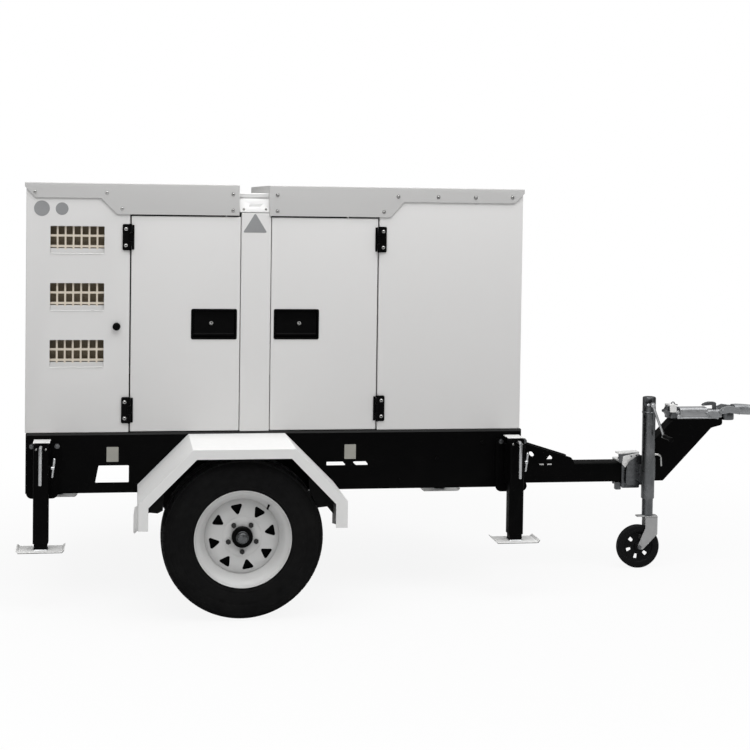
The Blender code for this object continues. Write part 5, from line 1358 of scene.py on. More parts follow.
def clevis(z0):
    """Block and eye bolt behind the channel, with the bright plate bolted over them."""
    rear = Solid()
    shape = [(2.052, z0 + 0.001), (2.112, z0 + 0.001), (2.114, 0.716), (2.098, 0.7290), (2.062, 0.7300),
             (2.054, 0.727), (2.047, 0.714), (2.047, 0.697), (2.053, 0.684)]
    rear.prism(rounded(shape, 0.004), -0.016, 0.016)
    rear.prism(rounded([(2.062, z0 + 0.001), (2.112, z0 + 0.001), (2.112, 0.706), (2.072, 0.702)], 0.004),
               -0.030, 0.030)
    rear.piece("coupling_clevis", TUBE, "trailer", slot="cast_aluminium", bevel=0.0015, segments=3)
    plate = Solid().prism(rect(2.060, 0.7030, 2.0915, 0.7380, 0.0035), -0.0375, -0.0295)
    plate.prism(rect(2.060, 0.7030, 2.0915, 0.7380, 0.0035), 0.0295, 0.0375)
    plate.box((2.061, -0.030, 0.7300), (2.0905, 0.030, 0.7380))
    plate.piece("coupling_block", BRIGHT, "trailer", slot="zinc", bevel=0.0012, segments=3)
    ring = Solid()
    ring.sweep([(2.0865 + 0.0075 * math.cos(a), 0, 0.7395 + 0.0075 * math.sin(a))
                for a in (math.radians(d) for d in range(-60, 301, 15))], 0.0024, 12)
    ring.sweep([(2.094, 0, 0.7380), (2.110, 0, 0.7330)], 0.0022, 12)
    ring.rod((2.0482, -0.020, 0.7035), (2.0482, 0.020, 0.7035), 0.0060, 24)
    ring.rod((2.0482, -0.024, 0.7035), (2.0482, -0.018, 0.7035), 0.0085, 6)
    ring.rod((2.0482, 0.018, 0.7035), (2.0482, 0.024, 0.7035), 0.0085, 6)
    ring.piece("coupling_eye", TUBE, "trailer", slot="zinc")
    bolts = Solid()
    for sign in (-1, 1):
        for x, z in ((2.100, 0.7035), (2.104, 0.6850)):
            hex_bolt(bolts, x, sign * 0.0300, z, (0, sign, 0), 0.0068, 0.0055)
    bolts.piece("coupling_bolts", ZINC, "trailer", slot="zinc", bevel=0.0004)


def coupling_catch():
    """The cast locking jaw and spring catch in front of the channel."""
    jaw = Solid()
    shape = rounded([(2.231, 0.7000), (2.262, 0.7095), (2.2965, 0.7060), (2.306, 0.690), (2.296, 0.668),
                     (2.270, 0.6745)], 0.004)
    for sign in (-1, 1):
        jaw.prism(shape, sign * 0.0318, sign * 0.0400)
    jaw.piece("coupling_jaw", ALLOY, "trailer", slot="cast_aluminium", bevel=0.0022, segments=3)
    catch = Solid()
    top = [(2.228, 0.7290), (2.232, 0.7345), (2.246, 0.7430), (2.262, 0.7470), (2.290, 0.7465),
           (2.296, 0.742), (2.297, 0.706), (2.285, 0.704), (2.282, 0.7330)]
    catch.prism(rounded(top, 0.0025), -0.011, 0.011)
    for k in range(5):
        catch.box((2.236 + 0.0055 * k, -0.0115, 0.7345 + 0.0014 * k), (2.2385 + 0.0055 * k, 0.0115,
                                                                    0.7400 + 0.0012 * k))
    catch.piece("coupling_catch", TUBE, "trailer", slot="zinc", bevel=0.0012, segments=3)


def coupling_handle():
    """The hand lever: two cheeks over the cup and a long rounded grip with a recessed slot."""
    x, z = HANDLE_AXIS
    tip = BOX["coupling_handle"][1].x - AXLE.x
    cheeks = Solid()
    shape = arc(x, z, 0.015, 95, 262, 12) + [(2.352, 0.6985), (2.404, 0.690), (2.404, 0.7240),
                                             (2.340, 0.7325)]
    for sign in (-1, 1):
        cheeks.prism(shape, sign * 0.0357, sign * 0.0405)
        cheeks.rod((x, sign * 0.034, z), (x, sign * 0.0440, z), 0.0070, 28)
    cheeks.piece("handle_cheeks", ALLOY, "coupling_handle", ["coupling_handle"], "cast_aluminium",
                 bevel=0.0018, segments=3)
    grip = Solid()
    rings = [(2.352 + 0.030, 0.036, 0.022, 0.713), (2.402, 0.034, 0.0240, 0.7125),
             (2.425, 0.0275, 0.0248, 0.7110), (2.455, 0.0245, 0.0242, 0.709),
             (2.490, 0.0240, 0.0230, 0.7065), (2.510, 0.0235, 0.0215, 0.7050),
             (2.522, 0.0205, 0.0185, 0.7045), (tip - 0.0022, 0.0145, 0.0125, 0.7040),
             (tip, 0.006, 0.005, 0.7040)]
    loft(grip, rings, 40)
    slot = Solid().prism(rect(2.392, 0.7140, 2.450, 0.7250, 0.0035), -0.05, -0.0225)
    slot.prism(rect(2.392, 0.7140, 2.450, 0.7250, 0.0035), 0.0225, 0.05)
    grip.cut(slot)
    grip.piece("handle_grip", ALLOY, "coupling_handle", slot="cast_aluminium", bevel=0.0010)


def loft(solid, rings, steps=32, power=2.6):
    """A closed skin through rounded sections (x, half width, half height, z) along X."""
    loops = []
    for x, half_y, half_z, z in rings:
        loop = []
        for i in range(steps):
            a = TAU * i / steps
            c, s = math.cos(a), math.sin(a)
            loop.append(solid.bm.verts.new(at(x, half_y * math.copysign(abs(c) ** (2 / power), c),
                                              z + half_z * math.copysign(abs(s) ** (2 / power), s))))
        loops.append(loop)
    for loop, following in zip(loops, loops[1:]):
        for i in range(steps):
            j = (i + 1) % steps
            solid.bm.faces.new((loop[i], loop[j], following[j], following[i]))
    solid.bm.faces.new(loops[0][::-1])
    solid.bm.faces.new(loops[-1])
    return solid


# ---------------------------------------------------------------- jockey wheel
JOCKEY_X, JOCKEY_Y, JOCKEY_R = 1.925, -0.125, 0.030
CRANK_Z = 0.757


def jockey():
    x, y, r = JOCKEY_X, JOCKEY_Y, JOCKEY_R
    tube = Solid().turned([(r - 0.004, 0.322), (r - 0.0008, 0.3205), (r, 0.3225), (r, 0.7125),
                           (r + 0.0022, 0.7145), (r + 0.0024, 0.7195), (r + 0.0004, 0.7215),
                           (r + 0.0004, 0.7840), (r - 0.0020, 0.7885), (r - 0.008, 0.7900), (0, 0.7900),
                           (0, 0.7860), (r - 0.009, 0.7855), (r - 0.0047, 0.7820), (r - 0.0047, 0.3220)],
                          (x, y, 0), (0, 0, 1), 96)
    window = Solid().prism(rect(x - 0.036, 0.7445, x + 0.002, 0.7805, 0.005), y - 0.05, y - 0.014)
    tube.cut(window)
    swivel = rounded([(1.838, 0.372), (1.915, 0.372), (1.955, 0.395), (1.955, 0.500), (1.900, 0.512),
                      (1.850, 0.480), (1.838, 0.440)], 0.010)
    plate_y = -0.070 - GAP * 2
    tube.prism(swivel, plate_y - 0.006, plate_y)
    tube.piece("jockey_tube_skin", TUBE, "jockey_tube", ["jockey_outer"], "zinc")
    ears = Solid()
    ears.box((x - 0.030, y + 0.020, 0.388), (x + 0.028, plate_y - 0.004, 0.470))
    ears.prism(rounded([(x + 0.020, 0.404), (x + 0.031, 0.410), (x + 0.0315, 0.500), (x + 0.028, 0.519),
                        (x + 0.020, 0.519)], 0.004), y - 0.012, plate_y - 0.001)
    ears.piece("jockey_ears", TUBE, "jockey_tube", slot="zinc", bevel=0.0018, segments=3)
    gears(x, y)
    jockey_pin(x)
    inner = Solid().turned([(0.0205, 0.2425), (0.0250, 0.2425), (0.0250, 0.6395), (0.0205, 0.6395)],
                           (x, y, 0), (0, 0, 1), 72, True)
    inner.turned([(0, 0.2425), (0.0206, 0.2425), (0.0206, 0.2485), (0, 0.2485)], (x, y, 0), (0, 0, 1), 72)
    inner.piece("jockey_slide", TUBE, "jockey_stem", ["jockey_inner"], "zinc")


def gears(x, y):
    """The bevel gears seen through the housing's window."""
    gear = Solid().turned([(0, 0.012), (0.015, 0.012), (0.020, 0.003), (0.020, 0.0), (0, 0.0)],
                          (x - 0.002, y, 0.7470), (0, 0, 1), 48)
    for k in range(14):
        a = TAU * k / 14
        gear.rod((x - 0.002 + 0.0145 * math.cos(a), y + 0.0145 * math.sin(a), 0.7590),
                 (x - 0.002 + 0.0205 * math.cos(a), y + 0.0205 * math.sin(a), 0.7500), 0.0018, 8)
    gear.rod((x - 0.002, y, 0.720), (x - 0.002, y, 0.782), 0.0055, 24)
    gear.piece("jockey_gear", ZINC, "jockey_tube", slot="zinc")


def jockey_pin(x):
    """The bent locking pin beside the tube, and its spring boss."""
    pin = Solid().sweep([(x + 0.029, -0.078, 0.508), (x + 0.052, -0.080, 0.5140),
                         (x + 0.064, -0.0805, 0.5130), (x + 0.0730, -0.081, 0.5085),
                         (x + 0.0770, -0.081, 0.499), (x + 0.0785, -0.081, 0.460)], 0.0052, 20)
    pin.piece("jockey_lock_pin", SCREW, "jockey_tube", slot="zinc")
    boss = Solid().rod((x + 0.022, -0.090, 0.503), (x + 0.034, -0.090, 0.503), 0.0085, 32)
    boss.piece("jockey_pin_boss", TUBE, "jockey_tube", slot="zinc", bevel=0.001)


def jockey_mount():
    """The clamp round the drawbar: plates, cover, bolts and the pivot's boss."""
    y = -BEAM_HALF - GAP
    top = BEAM_TOP + GAP
    low = BEAM_LOW - 0.028
    clamp = Solid()
    near = rounded([(1.822, low), (1.908, low), (1.908, 0.512), (1.890, 0.522), (1.836, 0.520),
                    (1.822, 0.505)], 0.006)
    clamp.prism(near, y - 0.008, y)
    clamp.prism(rounded([(1.815, low), (1.900, low), (1.900, top + 0.008), (1.815, top + 0.008)], 0.004),
                BEAM_HALF + GAP, BEAM_HALF + GAP + 0.008)
    clamp.box((1.833, y - 0.008, low), (1.882, BEAM_HALF + 0.008, BEAM_LOW - 0.010))
    clamp.rod((1.860, y - 0.020, 0.430), (1.860, y - 0.004, 0.430), 0.018, 48)
    clamp.piece("clamp_plates", TUBE, "trailer", ["jockey_clamp"], "zinc", bevel=0.0014, segments=3)
    cover = Solid()
    cover.box((1.815, y - 0.0085, top), (1.900, 0.0595, top + 0.008))
    tongue = rounded([(1.8030, 0.5140), (1.8300, 0.5140), (1.8300, 0.4700), (1.8090, 0.4740)], 0.003)
    post = Solid().prism(tongue, y - 0.0105, y - 0.0082)
    post.piece("clamp_post", TUBE, "trailer", slot="zinc", bevel=0.0008)
    cover.prism(rounded([(1.8030, 0.5130), (1.905, 0.5190), (1.905, 0.5240), (1.806, 0.5200)], 0.002),
                y - 0.0100, -0.010)
    cover.prism(rounded([(1.827, 0.5040), (1.902, 0.5190), (1.903, 0.4864), (1.864, 0.4857), (1.838, 0.4504),
                         (1.822, 0.4684)], 0.003), y - 0.0125, y - 0.0078)
    cover.piece("clamp_cover", BRIGHT, "trailer", slot="zinc", bevel=0.0014, segments=3)
    bolts = Solid()
    for x, z in ((1.865, 0.5040), (1.890, 0.5075)):
        bolts.rod((x, y - 0.0118, z), (x, y - 0.0145, z), 0.0040, 6)
    for x in (1.835, 1.880):
        hex_bolt(bolts, x, 0.012, top + 0.008, (0, 0, 1), 0.0085, 0.007)
    bolts.rod((1.826, y - 0.0075, 0.378), (1.826, y - 0.0105, 0.378), 0.0036, 20)
    bolts.piece("clamp_bolts", TUBE, "trailer", slot="zinc", bevel=0.0003)
    stop = Solid().box((1.7980, -0.046, 0.3450), (1.8240, -0.020, 0.3800))
    stop.piece("clamp_stop", TUBE, "trailer", slot="zinc", bevel=0.003, segments=3)


def castor():
    """The pressed fork, its bolt, and the ribbed wheel with six windows."""
    x, y, top = JOCKEY_X, JOCKEY_Y, BOX["jockey_fork"][1].z
    lo, hi = span("jockey_wheel")
    wheel_x, wheel_z = (lo.x + hi.x) / 2, (lo.z + hi.z) / 2
    half_w = (hi.y - lo.y) / 2
    fork = Solid()
    side_y = half_w + 0.0012
    cheek = rounded([(x - 0.016, top - 0.004), (x + 0.042, top - 0.004), (x + 0.0420, top - 0.086),
                     (wheel_x + 0.016, wheel_z - 0.013), (wheel_x - 0.012, wheel_z - 0.007),
                     (x - 0.016, top - 0.058)], (0.003, 0.006, 0.008, 0.010, 0.010, 0.02))
    for sign in (-1, 1):
        fork.prism(cheek, y + sign * side_y, y + sign * (side_y + 0.0046))
    cover = rounded([(x - 0.054, y - side_y + 0.006), (x + 0.036, y - side_y),
                     (x + 0.044, y - side_y + 0.008), (x + 0.044, y + side_y - 0.008),
                     (x + 0.036, y + side_y), (x - 0.054, y + side_y - 0.006)], 0.006)
    fork.prism(cover, top - 0.0062, top - 0.0005, "Z")
    shoulder = rounded([(x - 0.017, top - 0.0025), (x + 0.0425, top - 0.0025), (x + 0.0425, top - 0.011),
                        (x - 0.017, top - 0.011)], 0.002)
    for sign in (-1, 1):
        fork.prism(shoulder, y + sign * (side_y - 0.004), y + sign * (side_y + 0.0046))
    fork.piece("castor_fork", FORK, "jockey_castor", ["jockey_fork"], "zinc", bevel=0.0016, segments=4)
    bolt = Solid().rod((wheel_x, y - side_y - 0.0115, wheel_z), (wheel_x, y + side_y + 0.0115, wheel_z),
                       0.0058, 32)
    for sign in (-1, 1):
        bolt.rod((wheel_x, y + sign * (side_y + 0.0044), wheel_z),
                 (wheel_x, y + sign * (side_y + 0.0098), wheel_z), 0.0098, 6)
    bolt.piece("castor_bolt", TUBE, "jockey_castor", slot="zinc", bevel=0.0005)
    r = (hi.z - lo.z) / 2
    profile = [(0.0065, 0.0195), (0.0165, 0.0195), (0.0185, 0.0165), (0.0205, 0.0060), (0.0300, 0.0035),
               (0.0560, 0.0035), (0.0640, 0.0065), (0.0680, 0.0140), (0.0715, 0.0165), (0.0800, 0.0172),
               (0.0865, 0.0170), (0.0900, 0.0178), (0.0945, 0.0172), (0.0985, 0.0128), (r, 0.0065)]
    ring_profile = profile + [(a, -b) for a, b in reversed(profile)]
    wheel = Solid().turned(ring_profile[::-1], (wheel_x, y, wheel_z), (0, 1, 0), 120, True)
    holes = Solid()
    for k in range(6):
        a = math.radians(137 + 60 * k)
        cx, cz = wheel_x + 0.0465 * math.cos(a), wheel_z + 0.0465 * math.sin(a)
        turn = a + math.pi / 2
        shape = rounded([(-0.0062, -0.0115), (0.0062, -0.0115), (0.0090, 0.0105), (-0.0090, 0.0105)], 0.004)
        points = [(cx + u * math.cos(turn) + v * math.cos(a), cz + u * math.sin(turn) + v * math.sin(a))
                  for u, v in shape]
        holes.prism(points, y - 0.03, y + 0.03)
    wheel.cut(holes)
    wheel.piece("jockey_tyre", SOLID_RUBBER, "jockey_roller", ["jockey_wheel"], "solid_rubber", bevel=0.0006)


def crank():
    """The folding crank: a hub on the gear shaft, a flat cranked arm, and a moulded grip."""
    x, y = JOCKEY_X, JOCKEY_Y - JOCKEY_R
    dx, dz = 0.056, -0.145
    arm_y = y - 0.018
    hub = Solid().rod((x, y + 0.004, CRANK_Z), (x, arm_y - 0.004, CRANK_Z), 0.0080, 32)
    hub.rod((x, arm_y + 0.006, CRANK_Z), (x, arm_y - 0.006, CRANK_Z), 0.0115, 40)
    hub.ball((x, arm_y - 0.006, CRANK_Z), 0.0062, (1, 0.5, 1))
    hub.rod((x + dx, arm_y + 0.005, CRANK_Z + dz), (x + dx, arm_y - 0.006, CRANK_Z + dz), 0.0095, 32)
    steps = [(0.0, 0.0), (0.10, 0.0), (0.5, 0.002), (0.9, 0.0), (1.0, 0.0)]
    hub.sweep([(x + dx * t, arm_y + v, CRANK_Z + dz * t) for t, v in steps], 0.0058, 20)
    hub.piece("crank_arm", ZINC, "crank", ["jockey_crank"], "zinc")
    grip = Solid().turned([(0, 0), (0.0078, 0), (0.0104, 0.003), (0.0112, 0.010), (0.0106, 0.030),
                           (0.0096, 0.050), (0.0104, 0.074), (0.0112, 0.092), (0.0100, 0.0985),
                           (0.0060, 0.1005), (0, 0.1010)],
                          (x + dx, arm_y - 0.004, CRANK_Z + dz), (0, -1, 0), 40)
    grip.piece("crank_grip", PLASTIC, "crank", slot="black_plastic")


# ---------------------------------------------------------------- end walls and power set
FINS, FIN_PITCH, FIN_LOW = 9, 0.055, 0.9125
FASCIA_CUT = (-0.200, 1.160, 0.200, 1.480, 0.012)


def end_wall(end):
    lo, hi = span("end_" + end)
    side = (1, 0, 0) if end == "rear" else (-1, 0, 0)
    wall = Solid().sheet(lo, hi, side)
    if end == "front":
        tool = Solid()
        for k in range(FINS):
            z = FIN_LOW + FIN_PITCH * k
            tool.prism(rect(-0.26, z - 0.0125, 0.26, z + 0.0125, 0.012), hi.x - 0.01, hi.x + 0.01, "X")
        wall.cut(tool)
        louvres = Solid()
        for k in range(FINS):
            z = FIN_LOW + FIN_PITCH * k
            fin = [(hi.x - 0.0024, z + 0.0125), (hi.x - 0.0005, z + 0.0125), (hi.x - 0.0150, z - 0.0155),
                   (hi.x - 0.0165, z - 0.0150)]
            louvres.prism(fin, -0.262, 0.262, "Y")
        louvres.piece("outlet_fins", CREAM, "trailer", slot="canopy_paint", bevel=0.0003)
    else:
        tool = Solid().prism(rect(*FASCIA_CUT), lo.x - 0.01, lo.x + 0.01, "X")
        wall.cut(tool)
        gauge_panel(lo.x)
    wall.piece("end_sheet_" + end, CREAM, "trailer", ["end_" + end], "canopy_paint", bevel=0.0004,
               segments=1)
    screws = Solid()
    x = lo.x if end == "rear" else hi.x
    out = (-1, 0, 0) if end == "rear" else (1, 0, 0)
    for y in (-0.385, 0.385):
        for z in (0.75, 1.03, 1.32, 1.60):
            button_screw(screws, x, y, z, out)
    screws.piece("end_screws_" + end, SCREW, "trailer", slot="zinc")
    paint_socket_shade("end_screw_sockets_" + end, "trailer")


def gauge_panel(x):
    """A bare control fascia behind a framed window: gauges, keys and a stop button, unlettered."""
    frame_ring = Solid().prism(rect(-0.214, 1.146, 0.214, 1.494, 0.018), x - 0.0012, x - 0.0001, "X",
                               [rect(*FASCIA_CUT)])
    frame_ring.piece("fascia_seal", SEAL, "trailer", bevel=0.0005)
    face_x = span("control_panel")[0].x
    fascia = Solid().prism(rect(-0.199, 1.161, 0.199, 1.479, 0.012), face_x - 0.0025, face_x - 0.0005, "X")
    fascia.piece("fascia", ENCLOSURE, "trailer", slot="cast_aluminium", bevel=0.0005)
    dark, bright = Solid(), Solid()
    dark.prism(rect(-0.085, 1.345, 0.085, 1.455, 0.010), face_x - 0.0065, face_x - 0.0020, "X")
    for y in (-0.145, 0.145):
        dark.turned([(0, 0.004), (0.026, 0.004), (0.027, 0.010), (0.031, 0.010), (0.033, 0.007),
                     (0.033, 0), (0, 0)], (face_x - 0.002, y, 1.400), (-1, 0, 0), 48)
        bright.turned([(0, 0.0046), (0.0255, 0.0046), (0.0255, 0.0040), (0, 0.0040)],
                      (face_x - 0.002, y, 1.400), (-1, 0, 0), 48)
    for k in range(6):
        y = -0.075 + 0.030 * k
        dark.turned([(0, 0.0075), (0.0075, 0.0070), (0.0085, 0.005), (0.0085, 0), (0, 0)],
                    (face_x - 0.002, y, 1.290), (-1, 0, 0), 24)
        bright.turned([(0.0086, 0.0), (0.0086, 0.003), (0.0105, 0.003), (0.0112, 0.0)],
                      (face_x - 0.002, y, 1.290), (-1, 0, 0), 32, True)
    dark.turned([(0, 0.012), (0.018, 0.0115), (0.021, 0.009), (0.021, 0.006), (0.012, 0.005), (0.012, 0),
                 (0, 0)], (face_x - 0.002, 0.145, 1.235), (-1, 0, 0), 40)
    dark.piece("fascia_controls", PLASTIC, "trailer", slot="black_plastic", bevel=0.0006)
    bright.piece("fascia_dials", CHROME, "trailer", slot="zinc")


def power_set():
    """What is seen when the doors stand open: CAD solids with finishes, ribs and fittings."""
    keep("engine", IRON, 0.005)
    keep("alternator", ALLOY, 0.004)
    keep("radiator", PLASTIC, 0.003)
    keep("muffler", LAGGING, 0.006)
    keep("battery", TANK, 0.002)
    keep("control_panel", ENCLOSURE, 0.002)
    keep("fan", PLASTIC, 0.0015, 2)
    keep("fuel_tank", TANK, 0.006)
    keep("axle_beam", BLACK, 0.003)
    engine_fittings()
    alternator_fittings()
    battery_fittings()
    radiator_fittings()


def engine_fittings():
    ribs, bolts = Solid(), Solid()
    for sign in (-1, 1):
        y0, y1 = sorted((sign * 0.124, sign * 0.131))
        for k in range(9):
            x = 0.075 + 0.054 * k
            ribs.box((x - 0.004, y0, 0.86), (x + 0.004, y1, 1.11))
        ribs.box((0.03, y0, 1.106), (0.55, y1, 1.118))
        ribs.box((0.03, y0, 0.846), (0.55, y1, 0.858))
    for k in range(4):
        x = 0.11 + 0.12 * k
        ribs.prism(rect(x - 0.045, -0.075, x + 0.045, 0.075, 0.02), 1.2095, 1.2220, "Z")
        for y in (-0.088, 0.088):
            hex_bolt(bolts, x, y, 1.2105, (0, 0, 1), 0.008, 0.008)
    ribs.piece("engine_ribs", IRON, "trailer", slot="cast_aluminium", bevel=0.0025, segments=3)
    bolts.piece("engine_bolts", ZINC, "trailer", slot="zinc", bevel=0.0005)
    filters = Solid()
    for x in (0.14, 0.25):
        filters.turned([(0, 0.135), (0.030, 0.133), (0.038, 0.125), (0.040, 0.110), (0.040, 0.020),
                        (0.043, 0.018), (0.043, 0.002), (0.030, 0), (0, 0)], (x, -0.176, 0.905),
                       (0, 0, 1), 48)
        filters.rod((x, -0.176, 1.035), (x, -0.126, 1.060), 0.012, 20)
    filters.piece("engine_filters", WHITE, "trailer", slot="white_paint", bevel=0.001)
    pipes = Solid()
    pipes.sweep([(0.42, -0.13, 1.16), (0.42, -0.165, 1.165), (0.42, -0.185, 1.19), (0.42, -0.185, 1.26),
                 (0.42, -0.165, 1.30), (0.42, -0.130, 1.325), (0.42, -0.080, 1.345)], 0.022, 28)
    pipes.piece("exhaust_pipe", LAGGING, "trailer", slot="cast_aluminium")
    hoses = Solid()
    hoses.sweep([(0.54, 0.06, 1.17), (0.60, 0.10, 1.20), (0.66, 0.16, 1.26), (0.70, 0.17, 1.31),
                 (0.742, 0.17, 1.33)], 0.022, 28)
    hoses.sweep([(0.30, -0.10, 0.885), (0.30, -0.165, 0.880), (0.26, -0.195, 0.84), (0.20, -0.215, 0.78),
                 (0.16, -0.225, 0.715)], 0.007, 16)
    hoses.piece("engine_hoses", SOLID_RUBBER, "trailer", slot="solid_rubber")


def alternator_fittings():
    ribs = Solid()
    for k in range(24):
        a = TAU * k / 24
        if abs(math.sin(a)) > 0.72:
            continue
        c, s = math.cos(a), math.sin(a)
        ribs.sweep([(-0.315, 0.1515 * c, 0.985 + 0.1515 * s), (-0.045, 0.1515 * c, 0.985 + 0.1515 * s)],
                   0.005, 8)
    ribs.piece("alternator_ribs", ALLOY, "trailer", slot="cast_aluminium")
    guard = Solid().turned([(0.085, 0.0), (0.140, 0.0), (0.1515, 0.006), (0.1515, 0.012), (0.085, 0.012)],
                           (-0.3495, 0, 0.985), (1, 0, 0), 72, True)
    guard.piece("alternator_bell", ALLOY, "trailer", slot="cast_aluminium", bevel=0.001)


def battery_fittings():
    lo, hi = span("battery")
    lid = Solid().prism(rect(lo.x - 0.001, lo.y - 0.001, hi.x + 0.001, hi.y + 0.001, 0.008), hi.z - 0.012,
                        hi.z + 0.004, "Z")
    lid.piece("battery_lid", PLASTIC, "trailer", slot="black_plastic", bevel=0.002, segments=3)
    posts = Solid()
    for x in (lo.x + 0.035, hi.x - 0.035):
        posts.rod((x, lo.y + 0.040, hi.z + 0.0038), (x, lo.y + 0.040, hi.z + 0.022), 0.0095, 32, 0.0085)
    posts.piece("battery_posts", COPPER, "trailer", slot="zinc", bevel=0.0008)
    leads = Solid()
    for x, gap in ((lo.x + 0.035, -0.03), (hi.x - 0.035, 0.03)):
        leads.sweep([(x, lo.y + 0.040, hi.z + 0.014), (x + gap * 0.3, lo.y + 0.060, hi.z + 0.030),
                     (x + gap, lo.y + 0.100, hi.z + 0.032), (x + gap * 2, lo.y + 0.160, hi.z + 0.012),
                     (x + gap * 2.4, hi.y + 0.014, hi.z - 0.050),
                     (x + gap * 2.4, hi.y + 0.014, DECK_Z + 0.05)], 0.0065, 16)
    leads.piece("battery_leads", SOLID_RUBBER, "trailer", slot="solid_rubber")


def radiator_fittings():
    lo, hi = span("radiator")
    fins = Solid()
    for k in range(46):
        z = lo.z + 0.055 + 0.0134 * k
        fins.box((lo.x - 0.0022, lo.y + 0.03, z), (lo.x + 0.001, hi.y - 0.03, z + 0.0040))
    fins.piece("radiator_fins", ALLOY, "trailer", slot="cast_aluminium")
    cap = Solid().turned([(0, 0.022), (0.022, 0.020), (0.026, 0.014), (0.026, 0.006), (0.020, 0), (0, 0)],
                         ((lo.x + hi.x) / 2, 0.15, hi.z - 0.001), (0, 0, 1), 40)
    cap.piece("radiator_cap", CHROME, "trailer", slot="zinc", bevel=0.0008)


# ---------------------------------------------------------------- floor, lights and camera
HORIZON, ZENITH, LAMP_SIZE, FLOOR_GLOW = 0.14, 0.82, 8.0, 0.90


def floor_material():
    """Pale floor: the camera sees it lightened, keeping a soft shadow, and plain white beyond."""
    mat = bpy.data.materials.new("studio_floor")
    mat.use_nodes = True
    tree = mat.node_tree
    tree.nodes.clear()
    add, link = tree.nodes.new, tree.links.new
    out, diffuse, glow = (add("ShaderNodeOutputMaterial"), add("ShaderNodeBsdfDiffuse"),
                          add("ShaderNodeEmission"))
    diffuse.inputs["Color"].default_value = (0.62, 0.62, 0.62, 1)
    blend, place, length = add("ShaderNodeMixShader"), add("ShaderNodeTexCoord"), add("ShaderNodeVectorMath")
    length.operation = "LENGTH"
    fade, seen, gate = add("ShaderNodeMapRange"), add("ShaderNodeLightPath"), add("ShaderNodeMath")
    fade.interpolation_type = "SMOOTHSTEP"
    for socket, value in (("From Min", 1.3), ("From Max", 3.4), ("To Min", FLOOR_GLOW), ("To Max", 1.0)):
        fade.inputs[socket].default_value = value
    gate.operation = "MULTIPLY"
    link(place.outputs["Object"], length.inputs[0])
    link(length.outputs["Value"], fade.inputs["Value"])
    link(seen.outputs["Is Camera Ray"], gate.inputs[0])
    link(fade.outputs["Result"], gate.inputs[1])
    link(gate.outputs[0], blend.inputs["Fac"])
    link(diffuse.outputs[0], blend.inputs[1])
    link(glow.outputs[0], blend.inputs[2])
    link(blend.outputs[0], out.inputs["Surface"])
    return mat


def floor():
    bm = bmesh.new()
    bmesh.ops.create_grid(bm, x_segments=1, y_segments=1, size=60)
    mesh = bpy.data.meshes.new("floor")
    bm.to_mesh(mesh)
    bm.free()
    obj = bpy.data.objects.new("floor", mesh)
    obj.data.materials.append(floor_material())
    bpy.context.scene.collection.objects.link(obj)


def world():
    """Surroundings bright overhead and dim near the horizon; plain white for the camera."""
    scene_world = bpy.data.worlds.new("studio")
    bpy.context.scene.world = scene_world
    scene_world.use_nodes = True
    tree = scene_world.node_tree
    tree.nodes.clear()
    add, link = tree.nodes.new, tree.links.new
    out = add("ShaderNodeOutputWorld")
    lit, seen = add("ShaderNodeBackground"), add("ShaderNodeBackground")
    place, split, grade = add("ShaderNodeTexCoord"), add("ShaderNodeSeparateXYZ"), add("ShaderNodeMapRange")
    grade.interpolation_type = "SMOOTHSTEP"
    for socket, value in (("From Min", 0.20), ("From Max", 0.85), ("To Min", HORIZON), ("To Max", ZENITH)):
        grade.inputs[socket].default_value = value
    lit.inputs["Color"].default_value = (1, 1, 1, 1)
    seen.inputs["Color"].default_value = (1, 1, 1, 1)
    seen.inputs["Strength"].default_value = 1.0
    mix, path = add("ShaderNodeMixShader"), add("ShaderNodeLightPath")
    either = add("ShaderNodeMath")
    either.operation = "MAXIMUM"
    link(place.outputs["Generated"], split.inputs[0])
    link(split.outputs["Z"], grade.inputs["Value"])
    link(grade.outputs["Result"], lit.inputs["Strength"])
    link(path.outputs["Is Camera Ray"], either.inputs[0])
    link(path.outputs["Is Transmission Ray"], either.inputs[1])
    link(either.outputs[0], mix.inputs["Fac"])
    link(lit.outputs[0], mix.inputs[1])
    link(seen.outputs[0], mix.inputs[2])
    link(mix.outputs[0], out.inputs["Surface"])


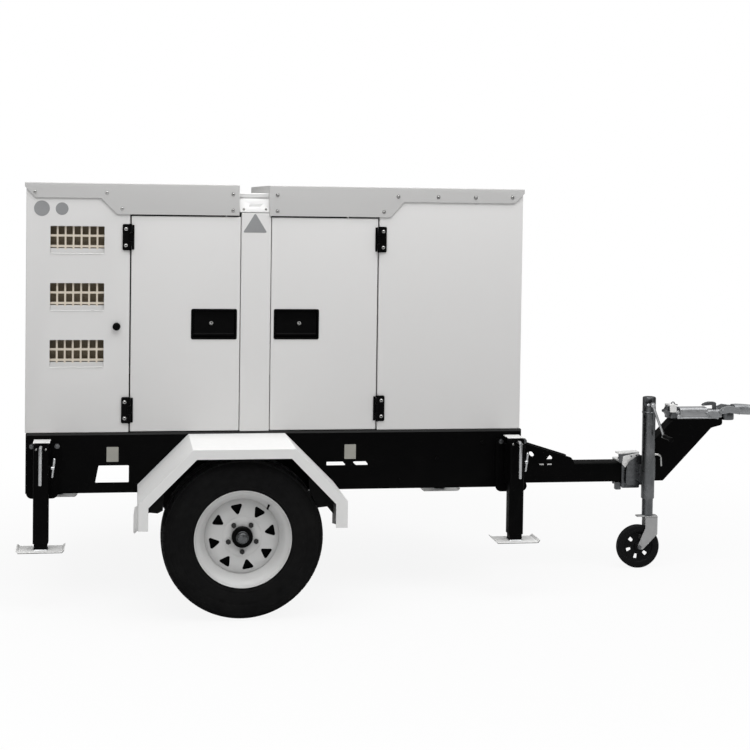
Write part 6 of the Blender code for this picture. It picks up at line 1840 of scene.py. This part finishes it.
def lamp(name, place, aim, size, watts):
    light = bpy.data.lights.new(name, "AREA")
    light.shape = "RECTANGLE"
    light.size, light.size_y = size
    light.energy = watts
    obj = bpy.data.objects.new(name, light)
    obj.location = place
    obj.rotation_euler = (Vector(aim) - Vector(place)).to_track_quat("-Z", "Y").to_euler()
    bpy.context.scene.collection.objects.link(obj)
    return obj


CAMERA_PLACE, CAMERA_LENS, CAMERA_SHIFT = (-0.495, -6.821, 1.672), 72.96, (0.0333, -0.1733)
CAMERA_YAW, CAMERA_PITCH, CAMERA_ROLL = math.radians(8.623), math.radians(1.656), math.radians(0.76)


def camera():
    """View of the near side from a little behind the axle, with the eye near roof height."""
    data = bpy.data.cameras.new("camera")
    data.sensor_width = 36
    data.lens = CAMERA_LENS
    data.shift_x, data.shift_y = CAMERA_SHIFT
    data.clip_start, data.clip_end = 0.1, 200
    obj = bpy.data.objects.new("camera", data)
    yaw, pitch, roll = CAMERA_YAW, CAMERA_PITCH, CAMERA_ROLL
    ahead = Vector((math.sin(yaw) * math.cos(pitch), math.cos(yaw) * math.cos(pitch), -math.sin(pitch)))
    right = Vector((math.cos(yaw), -math.sin(yaw), 0))
    up = right.cross(ahead)
    side = right * math.cos(roll) + up * math.sin(roll)
    top = up * math.cos(roll) - right * math.sin(roll)
    axes = Matrix((side, top, -ahead)).transposed().to_4x4()
    obj.matrix_world = Matrix.Translation(at(*CAMERA_PLACE)) @ axes
    bpy.context.scene.collection.objects.link(obj)
    bpy.context.scene.camera = obj


# ---------------------------------------------------------------- everything together
for end in ENDS:
    roof(end)
    roof_screws(end)
    end_wall(end)
    for side, sign in SIDES:
        side_panel(end, side, sign)
        door(end, side, sign)
        leg(end, side, sign)
canopy_foot()
centre_frame()
stop_knob()
stickers()
skid_base()
base_details()
drawbar()
gooseneck()
coupling()
jockey()
jockey_mount()
castor()
crank()
for side, sign in SIDES:
    tyre(side, sign)
    rim(side, sign)
    fender(side, sign)
power_set()

floor()
world()
lamp("overhead", (0.2, -1.7, 5.2), (0.2, 0, 0.4), (LAMP_SIZE, 4.0), 285)
lamp("front_fill", (-2.6, -6.5, 1.2), (-0.6, 0, 0.5), (4.0, 2.0), 24)
camera()

scene = bpy.context.scene
scene.view_settings.view_transform = "Standard"
